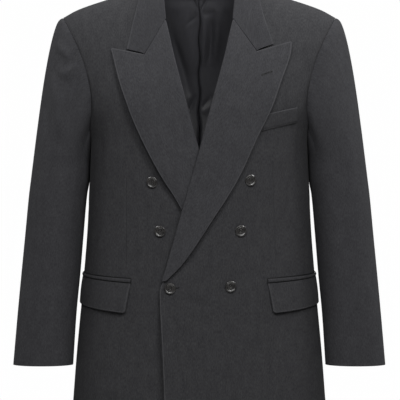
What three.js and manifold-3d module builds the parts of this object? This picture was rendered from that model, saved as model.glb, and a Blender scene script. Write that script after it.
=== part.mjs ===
// A double breasted blazer that stands out round a body nobody wears: peak lapels that roll to the
// lowest of six buttons, flap pockets, a chest welt, and two-piece sleeves.
// Millimetres, +Z up, the wearer faces -Y, and +X is the wearer's left. The origin lies in the middle of
// the neck, level with the two points where the shoulder seams meet the collar.
import * as THREE from "three";
import { mergeVertices } from "three/addons/utils/BufferGeometryUtils.js";
import Module from "manifold-3d";

// Cloth and seams
const FRONT_CLOTH = 2; // wool, canvas and facing
const BACK_CLOTH = 1.8;
const SLEEVE_CLOTH = 1.6;
const LAPEL_CLOTH = 1.8;
const POCKET_CLOTH = 1.6;
const WELT_CLOTH = 1.2;
const LINING_CLOTH = 1;
const SEAM_GAP = 0.3; // between two pieces sewn edge to edge
const ARMHOLE_GAP = 0.8; // the sleeve head stands this far off the armhole edge

// The body of the garment, as level rings
const HEM = -792;
const FRONT_HEM_DROP = 8; // the front edges hang lower than the back
const CHEST = -235; // above this height the cloth leans in to the shoulder seam
const RING_POWER = 2.35; // how square a ring is
const SHOULDER_POWER = 1.6; // how square the slope from the chest up to the shoulder seam is
const RINGS = [
  { height: -800, half: 235.5, front: 142, back: 135 },
  { height: -680, half: 226.5, front: 139, back: 128 },
  { height: -560, half: 215.5, front: 135, back: 118 },
  { height: -430, half: 205.5, front: 132, back: 112 },
  { height: -383, half: 203.8, front: 133, back: 114 },
  { height: -340, half: 201, front: 134.5, back: 119 },
  { height: -295, half: 200, front: 136, back: 124 },
  { height: -233, half: 214, front: 135.5, back: 129 },
  { height: -150, half: 246, front: 129, back: 131 },
  { height: -57, half: 294, front: 119, back: 127 },
  { height: 45, half: 300, front: 110, back: 120 },
];
// The shoulder seam's height, from the nape out to the shoulder point
const RIDGE = [
  { out: 0, height: 42 },
  { out: 30, height: 34 },
  { out: 60, height: 16 },
  { out: 90, height: 0 },
  { out: 130, height: -10.5 },
  { out: 174, height: -24 },
  { out: 226, height: -42.6 },
  { out: 252, height: -57 },
];
const NECK_POINT = 90;
const SHOULDER_POINT = 252;
const NAPE_DEPTH = 12; // how far behind the side line the shoulder seam meets the neck
const SEAM_FORWARD = 10; // and how far it comes forward by the shoulder point

// Armholes
const ARMHOLE_FRONT_FOOT = -262;
const ARMPIT = -295;
const ARMHOLE_BACK_FOOT = -250;
const FRONT_SEAM_SHARE = 0.97; // of the ring's half width, where the side panel starts in front
const BACK_SEAM_SHARE = 0.88; // and where it ends behind
const ARMHOLE_FRONT = [
  { height: -262, out: 199.9 },
  { height: -233, out: 196.9 },
  { height: -205, out: 197.7 },
  { height: -180, out: 201.5 },
  { height: -155, out: 207.6 },
  { height: -129, out: 216.5 },
  { height: -106, out: 226 },
  { height: -78, out: 240 },
  { height: -57, out: SHOULDER_POINT },
];
const ARMHOLE_BACK = [
  { height: -250, out: 184.5 },
  { height: -215, out: 192 },
  { height: -180, out: 201 },
  { height: -140, out: 214 },
  { height: -100, out: 231 },
  { height: -75, out: 242 },
  { height: -57, out: SHOULDER_POINT },
];
const ARMHOLE_FRONT_MOST = -205;
const ARMHOLE_BACK_MOST = -190;

// The front edge, from the hem up to the lowest button, then the roll line up to the neck.
// out is measured towards the panel's own side, so it is negative where the front has crossed the middle.
const BREAK = -541; // where the lapel starts to roll
const GORGE = -70; // where the collar meets the lapel on the roll line
const NECK_BACK_DROP = -3; // height of the back neck seam
const FRONT_EDGE = [
  { height: -800, out: -58.5 },
  { height: -748, out: -60.4 },
  { height: -665, out: -63.9 },
  { height: -620, out: -66.2 },
  { height: -585, out: -68.6 },
  { height: -562, out: -69.4 },
  { height: -549, out: -67.4 },
  { height: BREAK, out: -64.4 },
  { height: -502, out: -52.6 },
  { height: -394, out: -23.2 },
  { height: -310, out: 0.5 },
  { height: -225, out: 23.2 },
  { height: -138, out: 46.3 },
  { height: GORGE, out: 62 },
  { height: -45, out: 70 },
  { height: -20, out: 80 },
  { height: 0, out: NECK_POINT },
];
const OVERLAP_LIFT = 6.2; // the upper front stands this far off the one below
const OVERLAP_RAMP = { from: 72, to: 126 }; // where it comes down to the ring again, towards the side
const OVERLAP_TOP = { from: -300, to: -190 }; // and towards the neck

// Lapels: the outer edge by height, and the notch and peak at the top, for the two fronts
const LAPEL_EDGE = [
  { height: -540, over: -59.6, under: -59.6 },
  { height: -509, over: -29.9, under: -29.9 },
  { height: -464, over: 1.2, under: -1 },
  { height: -413, over: 33, under: 29.9 },
  { height: -392, over: 46.5, under: 41.3 },
  { height: -353, over: 68.6, under: 65 },
  { height: -287, over: 98.6, under: 98 },
  { height: -226, over: 128.6, under: 123.5 },
  { height: -182, over: 144.6, under: 140.2 },
  { height: -135, over: 161.9, under: 154 },
  { height: -122, over: 164.6, under: 157.5 },
  { height: -109, over: 165.6, under: 158 },
];
const LAPEL_TOP = {
  over: { notch: { out: 102.3, height: -129.2 }, peak: { out: 165.6, height: -109.3 } },
  under: { notch: { out: 97.4, height: -135 }, peak: { out: 157.5, height: -122 } },
};
const LAPEL_OFF = { over: 2.3, under: 0.8 }; // under the lapel, between it and the front
const LAPEL_EDGE_OFF = { over: 3.6, under: 2.6 }; // at its outer edge
const LAPEL_FOLD = 2.1; // radius of the roll, to the outside of the cloth
const FOLD_CLEAR = 1; // the front's own edge stops this far short of the roll line
const COLLAR_CORNER = {
  over: { out: 132.9, height: -117 },
  under: { out: 129.9, height: -126.4 },
};

// Collar: the crest it folds over, from the gorge round to the middle of the back, its outer edge, and
// the neck seam that its stand grows from
const COLLAR_CREST = [
  { out: 66.5, back: -46, height: -24 },
  { out: 71, back: -20, height: 4 },
  { out: 74, back: 6, height: 20 },
  { out: 67, back: 31, height: 27 },
  { out: 47, back: 51, height: 31 },
  { out: 24, back: 59, height: 33 },
  { out: 0, back: 61, height: 33.5 },
];
const COLLAR_EDGE_FRONT = [
  { out: 118.6, height: -67.7 },
  { out: 110.5, height: -29 },
];
const COLLAR_EDGE_SHOULDER = 109; // where it crosses the shoulder seam
const COLLAR_EDGE_BACK = [
  { out: 98, height: -11 },
  { out: 76, height: -14 },
  { out: 50, height: -15 },
  { out: 24, height: -15.5 },
  { out: 0, height: -16 },
];
const COLLAR_OFF = 2.9; // its outer face stands this far off the shoulders
const COLLAR_BULGE = 3.5;
const STAND_BELOW_CREST = 3.4;

// Sleeves: level rings from below the armpit to the cuff
const CUFF = -695;
const SLEEVE_TOP_RING = -330;
const SLEEVE_RINGS = [
  { height: -695, outer: 340.8, inner: 231, front: -76, back: 12 },
  { height: -600, outer: 333.6, inner: 225.6, front: -74, back: 34 },
  { height: -530, outer: 327.9, inner: 219.4, front: -71, back: 50 },
  { height: -457, outer: 321.4, inner: 213.8, front: -69, back: 62 },
  { height: -383, outer: 314.6, inner: 207.6, front: -68, back: 68 },
  { height: -358, outer: 311.6, inner: 203.4, front: -67.5, back: 70 },
  { height: -330, outer: 308.2, inner: 201.9, front: -67, back: 71 },
];
const SLEEVE_FRONT_SEAM = 158; // degrees round from the outside, by way of the front
const SLEEVE_BACK_SEAM = 266;
const SLEEVE_HEAD_SPREAD = 90; // how boldly the sleeve head swings out before it hangs
const ROPE = { rise: 5, lift: 0.1, near: 0.05, far: 0.2 }; // the raised top of the sleeve head, by share of its length
const DEGREE = Math.PI / 180;

// Pockets, in front of and behind the side seam: out is where each line leaves the front
const POCKET = {
  frontTop: { out: 122, height: -534.6 },
  frontFlap: { out: 122, height: -542.8 },
  frontFoot: { out: 130.5, height: -595.5 },
  sideTop: -525.2,
  sideFlap: -531.4,
  sideFoot: -579.4,
};
const POCKET_SIDE_ANGLE = 93; // how far round the ring the pocket reaches
const POCKET_ROUND = 0.6; // how much its pieces swell between their edges
const JET_OFF = 0.5;
const FLAP_OFF = { top: 0.7, frontFoot: 2.6, sideFoot: 1 };
const WELT_OFF = 0.8;
const WELT = {
  inner: { out: 92, top: -247.6, foot: -276.4 },
  outer: { out: 175, top: -227.2, foot: -255 },
};

// Buttons
const BUTTON_RADIUS = 10;
const BUTTON_THICK = 3.6;
const BUTTON_STAND_OFF = 0.8;
const THREAD_HOLE = { radius: 1, ring: 2.4 };
const BUTTONS = [
  { name: "button_upper_right", side: "under", out: 83.3, height: -362.2 },
  { name: "button_middle_right", side: "under", out: 69.5, height: -449.5 },
  { name: "button_lower_right", side: "over", out: -51, height: -550.9 },
  { name: "button_upper_left", side: "over", out: 89.5, height: -358.7 },
  { name: "button_middle_left", side: "over", out: 72.5, height: -448.8 },
  { name: "button_lower_left", side: "over", out: 54.7, height: -547.5 },
];

// Back lining, with an ease pleat down its middle
const LINING_TOP = -8;
const LINING_HEM = -765;
const LINING_OFF = 3.2; // its outer face, inside the back panel's outer face
const PLEAT = { depth: 2.4, overlap: 11, reach: 26 };
const LINING_SHARE = 0.84; // how far round the back it reaches

// Reads one named column of a table against another, as a smooth curve with no overshoot.
function reader(table, from, to) {
  const rows = [...table].sort((a, b) => a[from] - b[from]);
  const x = rows.map((row) => row[from]);
  const y = rows.map((row) => row[to]);
  const last = x.length - 1;
  const rise = y.slice(1).map((v, i) => (v - y[i]) / (x[i + 1] - x[i]));
  const slope = x.map((_, i) => {
    if (i === 0) return rise[0];
    if (i === last) return rise[last - 1];
    const product = rise[i - 1] * rise[i];
    return product <= 0 ? 0 : (2 * product) / (rise[i - 1] + rise[i]);
  });
  return (at) => {
    const v = Math.min(Math.max(at, x[0]), x[last]);
    let i = 0;
    while (i < last - 1 && v > x[i + 1]) i += 1;
    const wide = x[i + 1] - x[i];
    const t = (v - x[i]) / wide;
    const s = 1 - t;
    const bends = s * s * t * slope[i] * wide - s * t * t * slope[i + 1] * wide;
    return s * s * (1 + 2 * t) * y[i] + t * t * (3 - 2 * t) * y[i + 1] + bends;
  };
}

const mix = (a, b, t) => a + (b - a) * t;
const soft = (t) => {
  const c = Math.min(Math.max(t, 0), 1);
  return c * c * (3 - 2 * c);
};
const steps = (count) => Array.from({ length: count + 1 }, (_, i) => i / count);

const ringHalf = reader(RINGS, "height", "half");
const ringFront = reader(RINGS, "height", "front");
const ringBack = reader(RINGS, "height", "back");
const ridge = reader(RIDGE, "out", "height");
const armholeFront = reader(ARMHOLE_FRONT, "height", "out");
const armholeBack = reader(ARMHOLE_BACK, "height", "out");
const frontEdge = reader(FRONT_EDGE, "height", "out");

// The shoulder seam's place from front to back, at a distance out from the middle.
const seamDepth = (out) => NAPE_DEPTH - (SEAM_FORWARD * Math.abs(out)) / SHOULDER_POINT;

// A ring's depth at a distance out, as a share of its full depth.
function ringShare(out, height) {
  const share = Math.min(Math.abs(out) / ringHalf(height), 1);
  return (1 - share ** RING_POWER) ** (1 / RING_POWER);
}

// How much of the ring's depth is left at this height: all of it up to the chest, none on the shoulder seam.
function shoulderShare(out, height) {
  if (height <= CHEST) return 1;
  const climb = Math.min((height - CHEST) / (ridge(Math.abs(out)) - CHEST), 1);
  return (1 - climb ** SHOULDER_POWER) ** (1 / SHOULDER_POWER);
}

// The outer face of the garment's body in front (way -1) and behind (way 1).
function bodyPoint(way, out, height) {
  const full = (way < 0 ? ringFront(height) : ringBack(height)) * ringShare(out, height);
  const seam = height <= CHEST ? 0 : seamDepth(out);
  const reach = full - way * seam;
  const share = shoulderShare(out, height);
  const seamAt = height <= CHEST ? 0 : mix(seam, 0, share);
  const depth = height <= CHEST ? way * full : seamAt + way * share * full;
  return new THREE.Vector3(out, reach > 0 ? depth : seam, height);
}

// The same face moved out along its own normal. On the shoulder seam, front and back share one normal.
const SEAM_BAND = 1; // this near the seam's height, a point counts as being on it
function bodyPointOff(way, out, height, off) {
  const step = 0.8;
  const here = bodyPoint(way, out, height);
  const top = ridge(Math.abs(out));
  if (height > top - SEAM_BAND) {
    const along = ridge(Math.abs(out) + step) - ridge(Math.abs(out) - step);
    const normal = new THREE.Vector3(-Math.sign(out) * along, 0, 2 * step).normalize();
    return here.addScaledVector(normal, off);
  }
  const across = bodyPoint(way, out + step, height).sub(bodyPoint(way, out - step, height));
  const above = Math.min(height + step, top - 0.02);
  const up = bodyPoint(way, out, above).sub(bodyPoint(way, out, above - 2 * step));
  const normal = across.cross(up).multiplyScalar(-way).normalize();
  return here.addScaledVector(normal, off);
}

// A ring point below the armpit by angle: 0 is the middle of the front, 90 the side, 180 the back.
function ringPoint(angle, height, off = 0) {
  const s = Math.sin(angle * DEGREE);
  const c = Math.cos(angle * DEGREE);
  const out = ringHalf(height) * Math.abs(s) ** (2 / RING_POWER);
  const full = c > 0 ? ringFront(height) : ringBack(height);
  const back = -Math.sign(c) * full * Math.abs(c) ** (2 / RING_POWER);
  const nx = (out / ringHalf(height)) ** (RING_POWER - 1) / ringHalf(height);
  const ny = Math.sign(back) * (Math.abs(back) / full) ** (RING_POWER - 1) / full;
  const size = Math.hypot(nx, ny);
  return new THREE.Vector3(out + (off * nx) / size, back + (off * ny) / size, height);
}
const angleOfShare = (share) => Math.asin(share ** (RING_POWER / 2)) / DEGREE;
const FRONT_SEAM_ANGLE = angleOfShare(FRONT_SEAM_SHARE);
const BACK_SEAM_ANGLE = 180 - angleOfShare(BACK_SEAM_SHARE);

// Height of the armhole where it dips under the arm, by angle round the ring.
function armholeFoot(angle) {
  const front = angle < 90;
  const span = front ? 90 - FRONT_SEAM_ANGLE : BACK_SEAM_ANGLE - 90;
  const rise = (front ? ARMHOLE_FRONT_FOOT : ARMHOLE_BACK_FOOT) - ARMPIT;
  return ARMPIT + rise * Math.abs((angle - 90) / span) ** 2;
}

// The hem drops a little towards the front.
const hemAt = (point) => HEM - FRONT_HEM_DROP * soft((-point.y - 20) / 90);

// A closed wall between two grids of points, the outer face and the inner one. Rows run up and columns run
// to the wearer's left in front, and the other way behind, or the wall is turned.
function wall(outer, inner, turned = false) {
  const rowCount = outer.length;
  const columnCount = outer[0].length;
  const far = rowCount * columnCount;
  const faces = [];
  const quad = (a, b, c, d) => {
    if (turned) faces.push(b, a, c, c, a, d);
    else faces.push(a, b, c, a, c, d);
  };
  for (let r = 0; r < rowCount - 1; r += 1) {
    for (let c = 0; c < columnCount - 1; c += 1) {
      const a = r * columnCount + c;
      const b = a + columnCount;
      quad(a, a + 1, b + 1, b);
      quad(far + a, far + b, far + b + 1, far + a + 1);
    }
  }
  const rim = [];
  for (let c = 0; c < columnCount; c += 1) rim.push(c);
  for (let r = 1; r < rowCount; r += 1) rim.push(r * columnCount + columnCount - 1);
  for (let c = columnCount - 2; c >= 0; c -= 1) rim.push((rowCount - 1) * columnCount + c);
  for (let r = rowCount - 2; r > 0; r -= 1) rim.push(r * columnCount);
  rim.forEach((a, i) => {
    const b = rim[(i + 1) % rim.length];
    quad(a, far + a, far + b, b);
  });
  const positions = [...outer, ...inner].flatMap((row) => row.flatMap((p) => p.toArray()));
  const geometry = new THREE.BufferGeometry();
  geometry.setAttribute("position", new THREE.Float32BufferAttribute(positions, 3));
  geometry.setIndex(faces);
  return geometry;
}

// The inner face for an outer one: each point moved in along the normal of its own grid.
function inside(rows, thick, turned = false) {
  const clamp = (i, list) => list[Math.min(Math.max(i, 0), list.length - 1)];
  const at = (r, c) => clamp(c, clamp(r, rows));
  return rows.map((row, r) =>
    row.map((point, c) => {
      const across = at(r, c + 1).clone().sub(at(r, c - 1));
      const up = at(r + 1, c).clone().sub(at(r - 1, c));
      const normal = across.cross(up).normalize();
      return point.clone().addScaledVector(normal, turned ? thick : -thick);
    }),
  );
}

// The same rows on the wearer's right, still running the way that wall() needs.
const mirrored = (rows) =>
  rows.map((row) => row.map((p) => new THREE.Vector3(-p.x, p.y, p.z)).reverse());

// Heights of a panel's rows: level from the hem past the break of the lapel to the armhole's foot and the
// chest, then climbing to the shoulder seam in even steps of arc. Only those depend on the distance out.
const BREAK_ROW = 6;
const FOOT_ROWS = 11;
const CHEST_ROW = FOOT_ROWS + 1;
const UPPER_ROWS = 9;
const PANEL_ROWS = CHEST_ROW + UPPER_ROWS;
function panelRow(step, out, foot) {
  if (step < BREAK_ROW) return mix(HEM, BREAK, Math.sin((step / BREAK_ROW) * 1.35) / Math.sin(1.35));
  if (step <= FOOT_ROWS) return mix(BREAK, foot, (step - BREAK_ROW) / (FOOT_ROWS - BREAK_ROW));
  if (step <= CHEST_ROW) return mix(foot, CHEST, step - FOOT_ROWS);
  const arc = Math.sin((((step - CHEST_ROW) / UPPER_ROWS) * Math.PI) / 2);
  return mix(CHEST, ridge(Math.abs(out)), arc ** (2 / SHOULDER_POWER));
}

// The place on a row where it meets a boundary that is given by height.
function meets(step, boundary, first, foot) {
  let out = first;
  for (let i = 0; i < 24; i += 1) out = boundary(panelRow(step, out, foot));
  return out;
}

// The outer boundary of a front or back panel: the side seam, then the armhole.
function frontSide(height) {
  return height <= ARMHOLE_FRONT_FOOT ? FRONT_SEAM_SHARE * ringHalf(height) : armholeFront(height);
}
function backSide(height) {
  return height <= ARMHOLE_BACK_FOOT ? BACK_SEAM_SHARE * ringHalf(height) : armholeBack(height);
}

// How far the upper front stands off the ring: fully where it crosses the other, not at its side or neck.
function overlapLift(out, height) {
  const across = soft((OVERLAP_RAMP.to - out) / (OVERLAP_RAMP.to - OVERLAP_RAMP.from));
  return OVERLAP_LIFT * across * soft((OVERLAP_TOP.to - height) / (OVERLAP_TOP.to - OVERLAP_TOP.from));
}

// The outer face of a front, on the wearer's left, moved out by off. The upper front carries its lift.
function frontPoint(side, out, height, off = 0) {
  return bodyPointOff(-1, out, height, off + (side === "over" ? overlapLift(out, height) : 0));
}

// Front panels: side seam and armhole to front edge, hem to shoulder seam.
const FRONT_COLUMNS = 13;
function frontRows(side, off) {
  const foot = ARMHOLE_FRONT_FOOT;
  return steps(PANEL_ROWS).map((_, step) => {
    const edge = meets(step, frontEdge, 60, foot);
    const inner = edge + (step >= BREAK_ROW ? FOLD_CLEAR : 0);
    const outer = meets(step, frontSide, 215, foot) - SEAM_GAP / 2;
    return steps(FRONT_COLUMNS).map((share) => {
      const out = mix(inner, outer, share);
      const row = panelRow(step, out, foot);
      const height = step === PANEL_ROWS ? row - SEAM_GAP / 2 : row;
      const point = frontPoint(side, out, height, off);
      if (step === 0) point.z = hemAt(point);
      return point;
    });
  });
}

// Side panels: from the front seam round to the back seam, hem to armhole.
const SIDE_COLUMNS = 6;
function sideRows(off) {
  const gap = SEAM_GAP / 2 / (RINGS[0].half * DEGREE);
  return steps(FOOT_ROWS).map((_, step) =>
    steps(SIDE_COLUMNS).map((turn) => {
      const angle = mix(FRONT_SEAM_ANGLE + gap, BACK_SEAM_ANGLE - gap, turn);
      const point = ringPoint(angle, panelRow(step, 0, armholeFoot(angle)), off);
      if (step === 0) point.z = hemAt(point);
      return point;
    }),
  );
}

// Height of the back neck seam, which rises a little from the middle to the neck points.
const backNeck = (out) => mix(NECK_BACK_DROP, 0, (Math.abs(out) / NECK_POINT) ** 3);

// Back panels: middle seam to side seam and armhole, hem to shoulder seam and back neck.
const BACK_COLUMNS = 10;
function backRows(off) {
  const foot = ARMHOLE_BACK_FOOT;
  return steps(PANEL_ROWS).map((_, step) => {
    const outer = meets(step, backSide, 200, foot) - SEAM_GAP / 2;
    return steps(BACK_COLUMNS).map((share) => {
      const out = mix(SEAM_GAP / 2, outer, share);
      const blend = soft((step - CHEST_ROW) / UPPER_ROWS);
      const neck = out < NECK_POINT ? backNeck(out) - ridge(out) : 0;
      const height = panelRow(step, out, foot) + neck * blend - (step === PANEL_ROWS ? SEAM_GAP / 2 : 0);
      const point = bodyPointOff(1, out, height, off);
      if (step === 0) point.z = hemAt(point);
      return point;
    });
  });
}

// A lapel: from the fold on the roll line to its outer edge, and from the break up to the gorge and peak.
// off is the height of its outer face over the front that it lies on.
const LAPEL_ROWS = 17;
const LAPEL_COLUMNS = 7;
const FOLD_COLUMNS = 3;
function lapelRows(side) {
  const { notch, peak } = LAPEL_TOP[side];
  const edge = reader(LAPEL_EDGE, "height", side);
  const gorge = { out: frontEdge(GORGE), height: GORGE };
  const off = LAPEL_OFF[side] + LAPEL_CLOTH;
  const edgeOff = LAPEL_EDGE_OFF[side] + LAPEL_CLOTH;
  const notchShare = 3 / LAPEL_COLUMNS;
  return steps(LAPEL_ROWS).map((climb) => {
    const rollHeight = mix(BREAK + 3, gorge.height, climb);
    const edgeHeight = mix(BREAK + 3, peak.height, climb);
    const roll = { out: frontEdge(rollHeight), height: rollHeight };
    const rim = climb === 1 ? peak : { out: edge(edgeHeight), height: edgeHeight };
    const wide = Math.hypot(rim.out - roll.out, rim.height - roll.height);
    const toRim = { out: (rim.out - roll.out) / wide, height: (rim.height - roll.height) / wide };
    const fold = steps(FOLD_COLUMNS).slice(0, -1).map((turn) => {
      const angle = mix(-60, 90, turn) * DEGREE;
      const back = -LAPEL_FOLD * Math.cos(angle);
      const rise = (off - LAPEL_FOLD) + LAPEL_FOLD * Math.sin(angle);
      return frontPoint(side, roll.out + back * toRim.out, roll.height + back * toRim.height, rise);
    });
    const face = steps(LAPEL_COLUMNS).map((share) => {
      const straight = {
        out: mix(roll.out, rim.out, share),
        height: mix(roll.height, rim.height, share),
      };
      const top = share < notchShare
        ? { out: mix(gorge.out, notch.out, share / notchShare), height: mix(gorge.height, notch.height, share / notchShare) }
        : {
            out: mix(notch.out, peak.out, (share - notchShare) / (1 - notchShare)),
            height: mix(notch.height, peak.height, (share - notchShare) / (1 - notchShare)),
          };
      const level = { out: mix(gorge.out, peak.out, share), height: mix(gorge.height, peak.height, share) };
      const pull = climb ** 2;
      const out = straight.out + pull * (top.out - level.out);
      const height = straight.height + pull * (top.height - level.height);
      return frontPoint(side, out, height, mix(off, edgeOff, share * soft(climb * 4 - 1.2)));
    });
    return [...fold, ...face];
  });
}

// Collar curves from the gorge, round the neck, to the middle of the back, on the wearer's left.
function curveThrough(points) {
  return new THREE.CatmullRomCurve3(points, false, "centripetal");
}
function collarCurves(side) {
  const { notch } = LAPEL_TOP[side];
  const corner = COLLAR_CORNER[side];
  const off = LAPEL_OFF[side] + LAPEL_CLOTH;
  const start = frontPoint(side, frontEdge(GORGE) - 0.6, GORGE + 1.8, off);
  const crest = [start, ...COLLAR_CREST.map((p) => new THREE.Vector3(p.out, p.back, p.height))];
  const edge = [
    frontPoint(side, corner.out, corner.height + 0.6, LAPEL_EDGE_OFF[side] + LAPEL_CLOTH),
    ...COLLAR_EDGE_FRONT.map((p) => bodyPointOff(-1, p.out, p.height, COLLAR_OFF)),
    bodyPointOff(1, COLLAR_EDGE_SHOULDER, ridge(COLLAR_EDGE_SHOULDER), COLLAR_OFF),
    ...COLLAR_EDGE_BACK.map((p) => bodyPointOff(1, p.out, p.height, COLLAR_OFF)),
  ];
  const seam = [
    frontPoint(side, frontEdge(GORGE) + 1, GORGE + 2, 1.2),
    ...[-45, -20].map((height) => bodyPointOff(-1, frontEdge(height), height, 1.6)),
    new THREE.Vector3(NECK_POINT, seamDepth(NECK_POINT), 1.8),
    ...[78, 58, 30, 0].map((out) => bodyPointOff(1, out, backNeck(out), 0.4).add(new THREE.Vector3(0, 0, 1.2))),
  ];
  return { crest: curveThrough(crest), edge: curveThrough(edge), seam: curveThrough(seam), notch, off };
}

// The fall of the collar on one side: rows run round the neck, columns from the crest to the outer edge.
const FALL_COLUMNS = 5;
const FALL_ROWS = 14;
function fallHalf(side) {
  const { crest, edge, notch, off } = collarCurves(side);
  const corner = edge.getPoint(0);
  const start = crest.getPoint(0);
  const notchPoint = frontPoint(side, notch.out + 0.6, notch.height + 1.3, off);
  const notchShare = 0.6;
  return steps(FALL_ROWS).map((round) => {
    const top = crest.getPoint(round);
    const rim = edge.getPoint(round);
    const along = crest.getTangent(round);
    const lean = rim.clone().sub(top);
    const outward = lean.clone().cross(along).normalize();
    if (outward.z < 0) outward.negate();
    return steps(FALL_COLUMNS).map((share) => {
      const point = top.clone().lerp(rim, share);
      point.addScaledVector(outward, COLLAR_BULGE * 4 * share * (1 - share) * soft(0.3 + round * 2));
      const end = share < notchShare
        ? start.clone().lerp(notchPoint, share / notchShare)
        : notchPoint.clone().lerp(corner, (share - notchShare) / (1 - notchShare));
      const pull = (1 - round) ** 6;
      return point.addScaledVector(end.sub(start.clone().lerp(corner, share)), pull);
    });
  });
}

// The stand inside the collar, from the neck seam up to just under the crest.
const STAND_COLUMNS = 2;
function standHalf(side) {
  const { crest, seam } = collarCurves(side);
  return steps(FALL_ROWS).map((round) => {
    const share = mix(0.06, 1, round);
    const foot = seam.getPoint(share);
    const top = crest.getPoint(share);
    const tall = top.distanceTo(foot);
    const reach = Math.max(1 - STAND_BELOW_CREST / tall, 0.3);
    return steps(STAND_COLUMNS).map((rise) => foot.clone().lerp(top, rise * reach));
  });
}

// The two halves joined at the middle of the back, one row after another round the neck.
function roundNeck(leftHalf, rightHalf) {
  const right = rightHalf.map((row) => row.map((p) => new THREE.Vector3(-p.x, p.y, p.z)));
  const middle = leftHalf.length - 1;
  const joined = leftHalf[middle].map((p, i) => p.clone().add(right[middle][i]).multiplyScalar(0.5));
  return [...right.slice(0, middle), joined, ...leftHalf.slice(0, middle).reverse()];
}

// The armhole as one loop from the shoulder point, down the front, under the arm and up the back.
// The reader gives its point at an angle round the sleeve: 0 is outside, 90 front, 180 inside, 270 back.
function armholeLoop() {
  const count = 24;
  const front = steps(count).map((t) => {
    const height = mix(-57, ARMHOLE_FRONT_FOOT, t);
    return bodyPoint(-1, armholeFront(height), height);
  });
  const under = steps(count).slice(1, -1).map((t) => {
    const angle = mix(FRONT_SEAM_ANGLE, BACK_SEAM_ANGLE, t);
    return ringPoint(angle, armholeFoot(angle));
  });
  const back = steps(count).map((t) => {
    const height = mix(ARMHOLE_BACK_FOOT, -57, t);
    return bodyPoint(1, armholeBack(height), height);
  });
  const points = [...front, ...under, ...back];
  const nearest = (test) => points.reduce((best, p, i) => (test(p) < test(points[best]) ? i : best), 0);
  const anchors = [
    0,
    nearest((p) => Math.abs(p.z - ARMHOLE_FRONT_MOST) + (p.y > 0 ? 1000 : 0)),
    nearest((p) => p.z),
    nearest((p) => Math.abs(p.z - ARMHOLE_BACK_MOST) + (p.y < 0 ? 1000 : 0)),
    points.length - 1,
  ];
  const length = [0];
  for (let i = 1; i < points.length; i += 1) length.push(length[i - 1] + points[i].distanceTo(points[i - 1]));
  return (angle) => {
    const turn = (((angle % 360) + 360) % 360) / 90;
    const quarter = Math.floor(turn);
    const want = mix(length[anchors[quarter]], length[anchors[quarter + 1]], turn - quarter);
    let i = 0;
    while (i < points.length - 2 && length[i + 1] < want) i += 1;
    return points[i].clone().lerp(points[i + 1], (want - length[i]) / (length[i + 1] - length[i]));
  };
}
const armholeAt = armholeLoop();

const sleeveOuter = reader(SLEEVE_RINGS, "height", "outer");
const sleeveInner = reader(SLEEVE_RINGS, "height", "inner");
const sleeveFront = reader(SLEEVE_RINGS, "height", "front");
const sleeveBack = reader(SLEEVE_RINGS, "height", "back");

// A level ring of the sleeve by angle round it.
function sleeveRing(angle, height) {
  const middle = (sleeveOuter(height) + sleeveInner(height)) / 2;
  const half = (sleeveOuter(height) - sleeveInner(height)) / 2;
  const centre = (sleeveFront(height) + sleeveBack(height)) / 2;
  const deep = (sleeveBack(height) - sleeveFront(height)) / 2;
  const out = middle + half * Math.cos(angle * DEGREE);
  return new THREE.Vector3(out, centre - deep * Math.sin(angle * DEGREE), height);
}

// The sleeve head: a curve that leaves the armhole outward and ends hanging on the top ring.
function sleeveHead(angle, share) {
  const turn = angle * DEGREE;
  const leave = new THREE.Vector3(
    0.9 * Math.abs(Math.cos(turn / 2)),
    -0.42 * Math.sin(turn),
    -0.47 - 0.265 * (1 - Math.cos(turn)),
  ).normalize();
  const from = armholeAt(angle).addScaledVector(leave, ARMHOLE_GAP);
  from.x += ARMHOLE_GAP * Math.sin(turn / 2) ** 4;
  const to = sleeveRing(angle, SLEEVE_TOP_RING);
  const hang = sleeveRing(angle, SLEEVE_TOP_RING - 1).sub(to);
  const span = from.distanceTo(to);
  const s = 1 - share;
  const top = Math.max(Math.cos(turn / 2), 0) ** 4;
  const rope = top * ROPE.rise * Math.exp(-share / ROPE.far) * (1 - Math.exp(-share / ROPE.near));
  from.add(new THREE.Vector3(rope, 0, rope * ROPE.lift));
  return from.multiplyScalar(s * s * (1 + 2 * share))
    .addScaledVector(leave, s * s * share * Math.min(SLEEVE_HEAD_SPREAD, span))
    .addScaledVector(to, share * share * (3 - 2 * share))
    .addScaledVector(hang.normalize(), -s * share * share * span);
}

// A point of the sleeve's outer face, row by row from the cuff up to the armhole.
const HEAD_ROWS = 8;
const ARM_ROWS = 9;
function sleevePoint(step, angle) {
  if (step <= ARM_ROWS) return sleeveRing(angle, mix(CUFF, SLEEVE_TOP_RING, step / ARM_ROWS));
  return sleeveHead(angle, (1 - (step - ARM_ROWS) / HEAD_ROWS) ** 1.6);
}

// A sleeve piece between two seams, moved in by the given depth along the normal.
function sleeveRows(fromAngle, toAngle, columns, depth) {
  const seamTurn = SEAM_GAP / 2 / 44 / DEGREE; // half a seam gap as an angle round the cuff
  return steps(ARM_ROWS + HEAD_ROWS).map((_, step) =>
    steps(columns).map((share) => {
      const angle = mix(fromAngle - seamTurn, toAngle + seamTurn, share);
      const above = Math.min(step + 0.3, ARM_ROWS + HEAD_ROWS);
      const below = Math.max(step - 0.3, 0);
      const up = sleevePoint(above, angle).sub(sleevePoint(below, angle));
      const across = sleevePoint(step, angle - 4).sub(sleevePoint(step, angle + 4));
      return sleevePoint(step, angle).addScaledVector(across.cross(up).normalize(), -depth);
    }),
  );
}

// A stretch of a sleeve piece's rows, whose cut end stands half a seam gap off the level of the top ring.
function sleeveStretch(rows, from, to, shift) {
  return rows.slice(from, to + 1).map((row, i) => {
    const cut = from + i === ARM_ROWS;
    return row.map((point) => new THREE.Vector3(point.x, point.y, point.z + (cut ? shift : 0)));
  });
}

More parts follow.
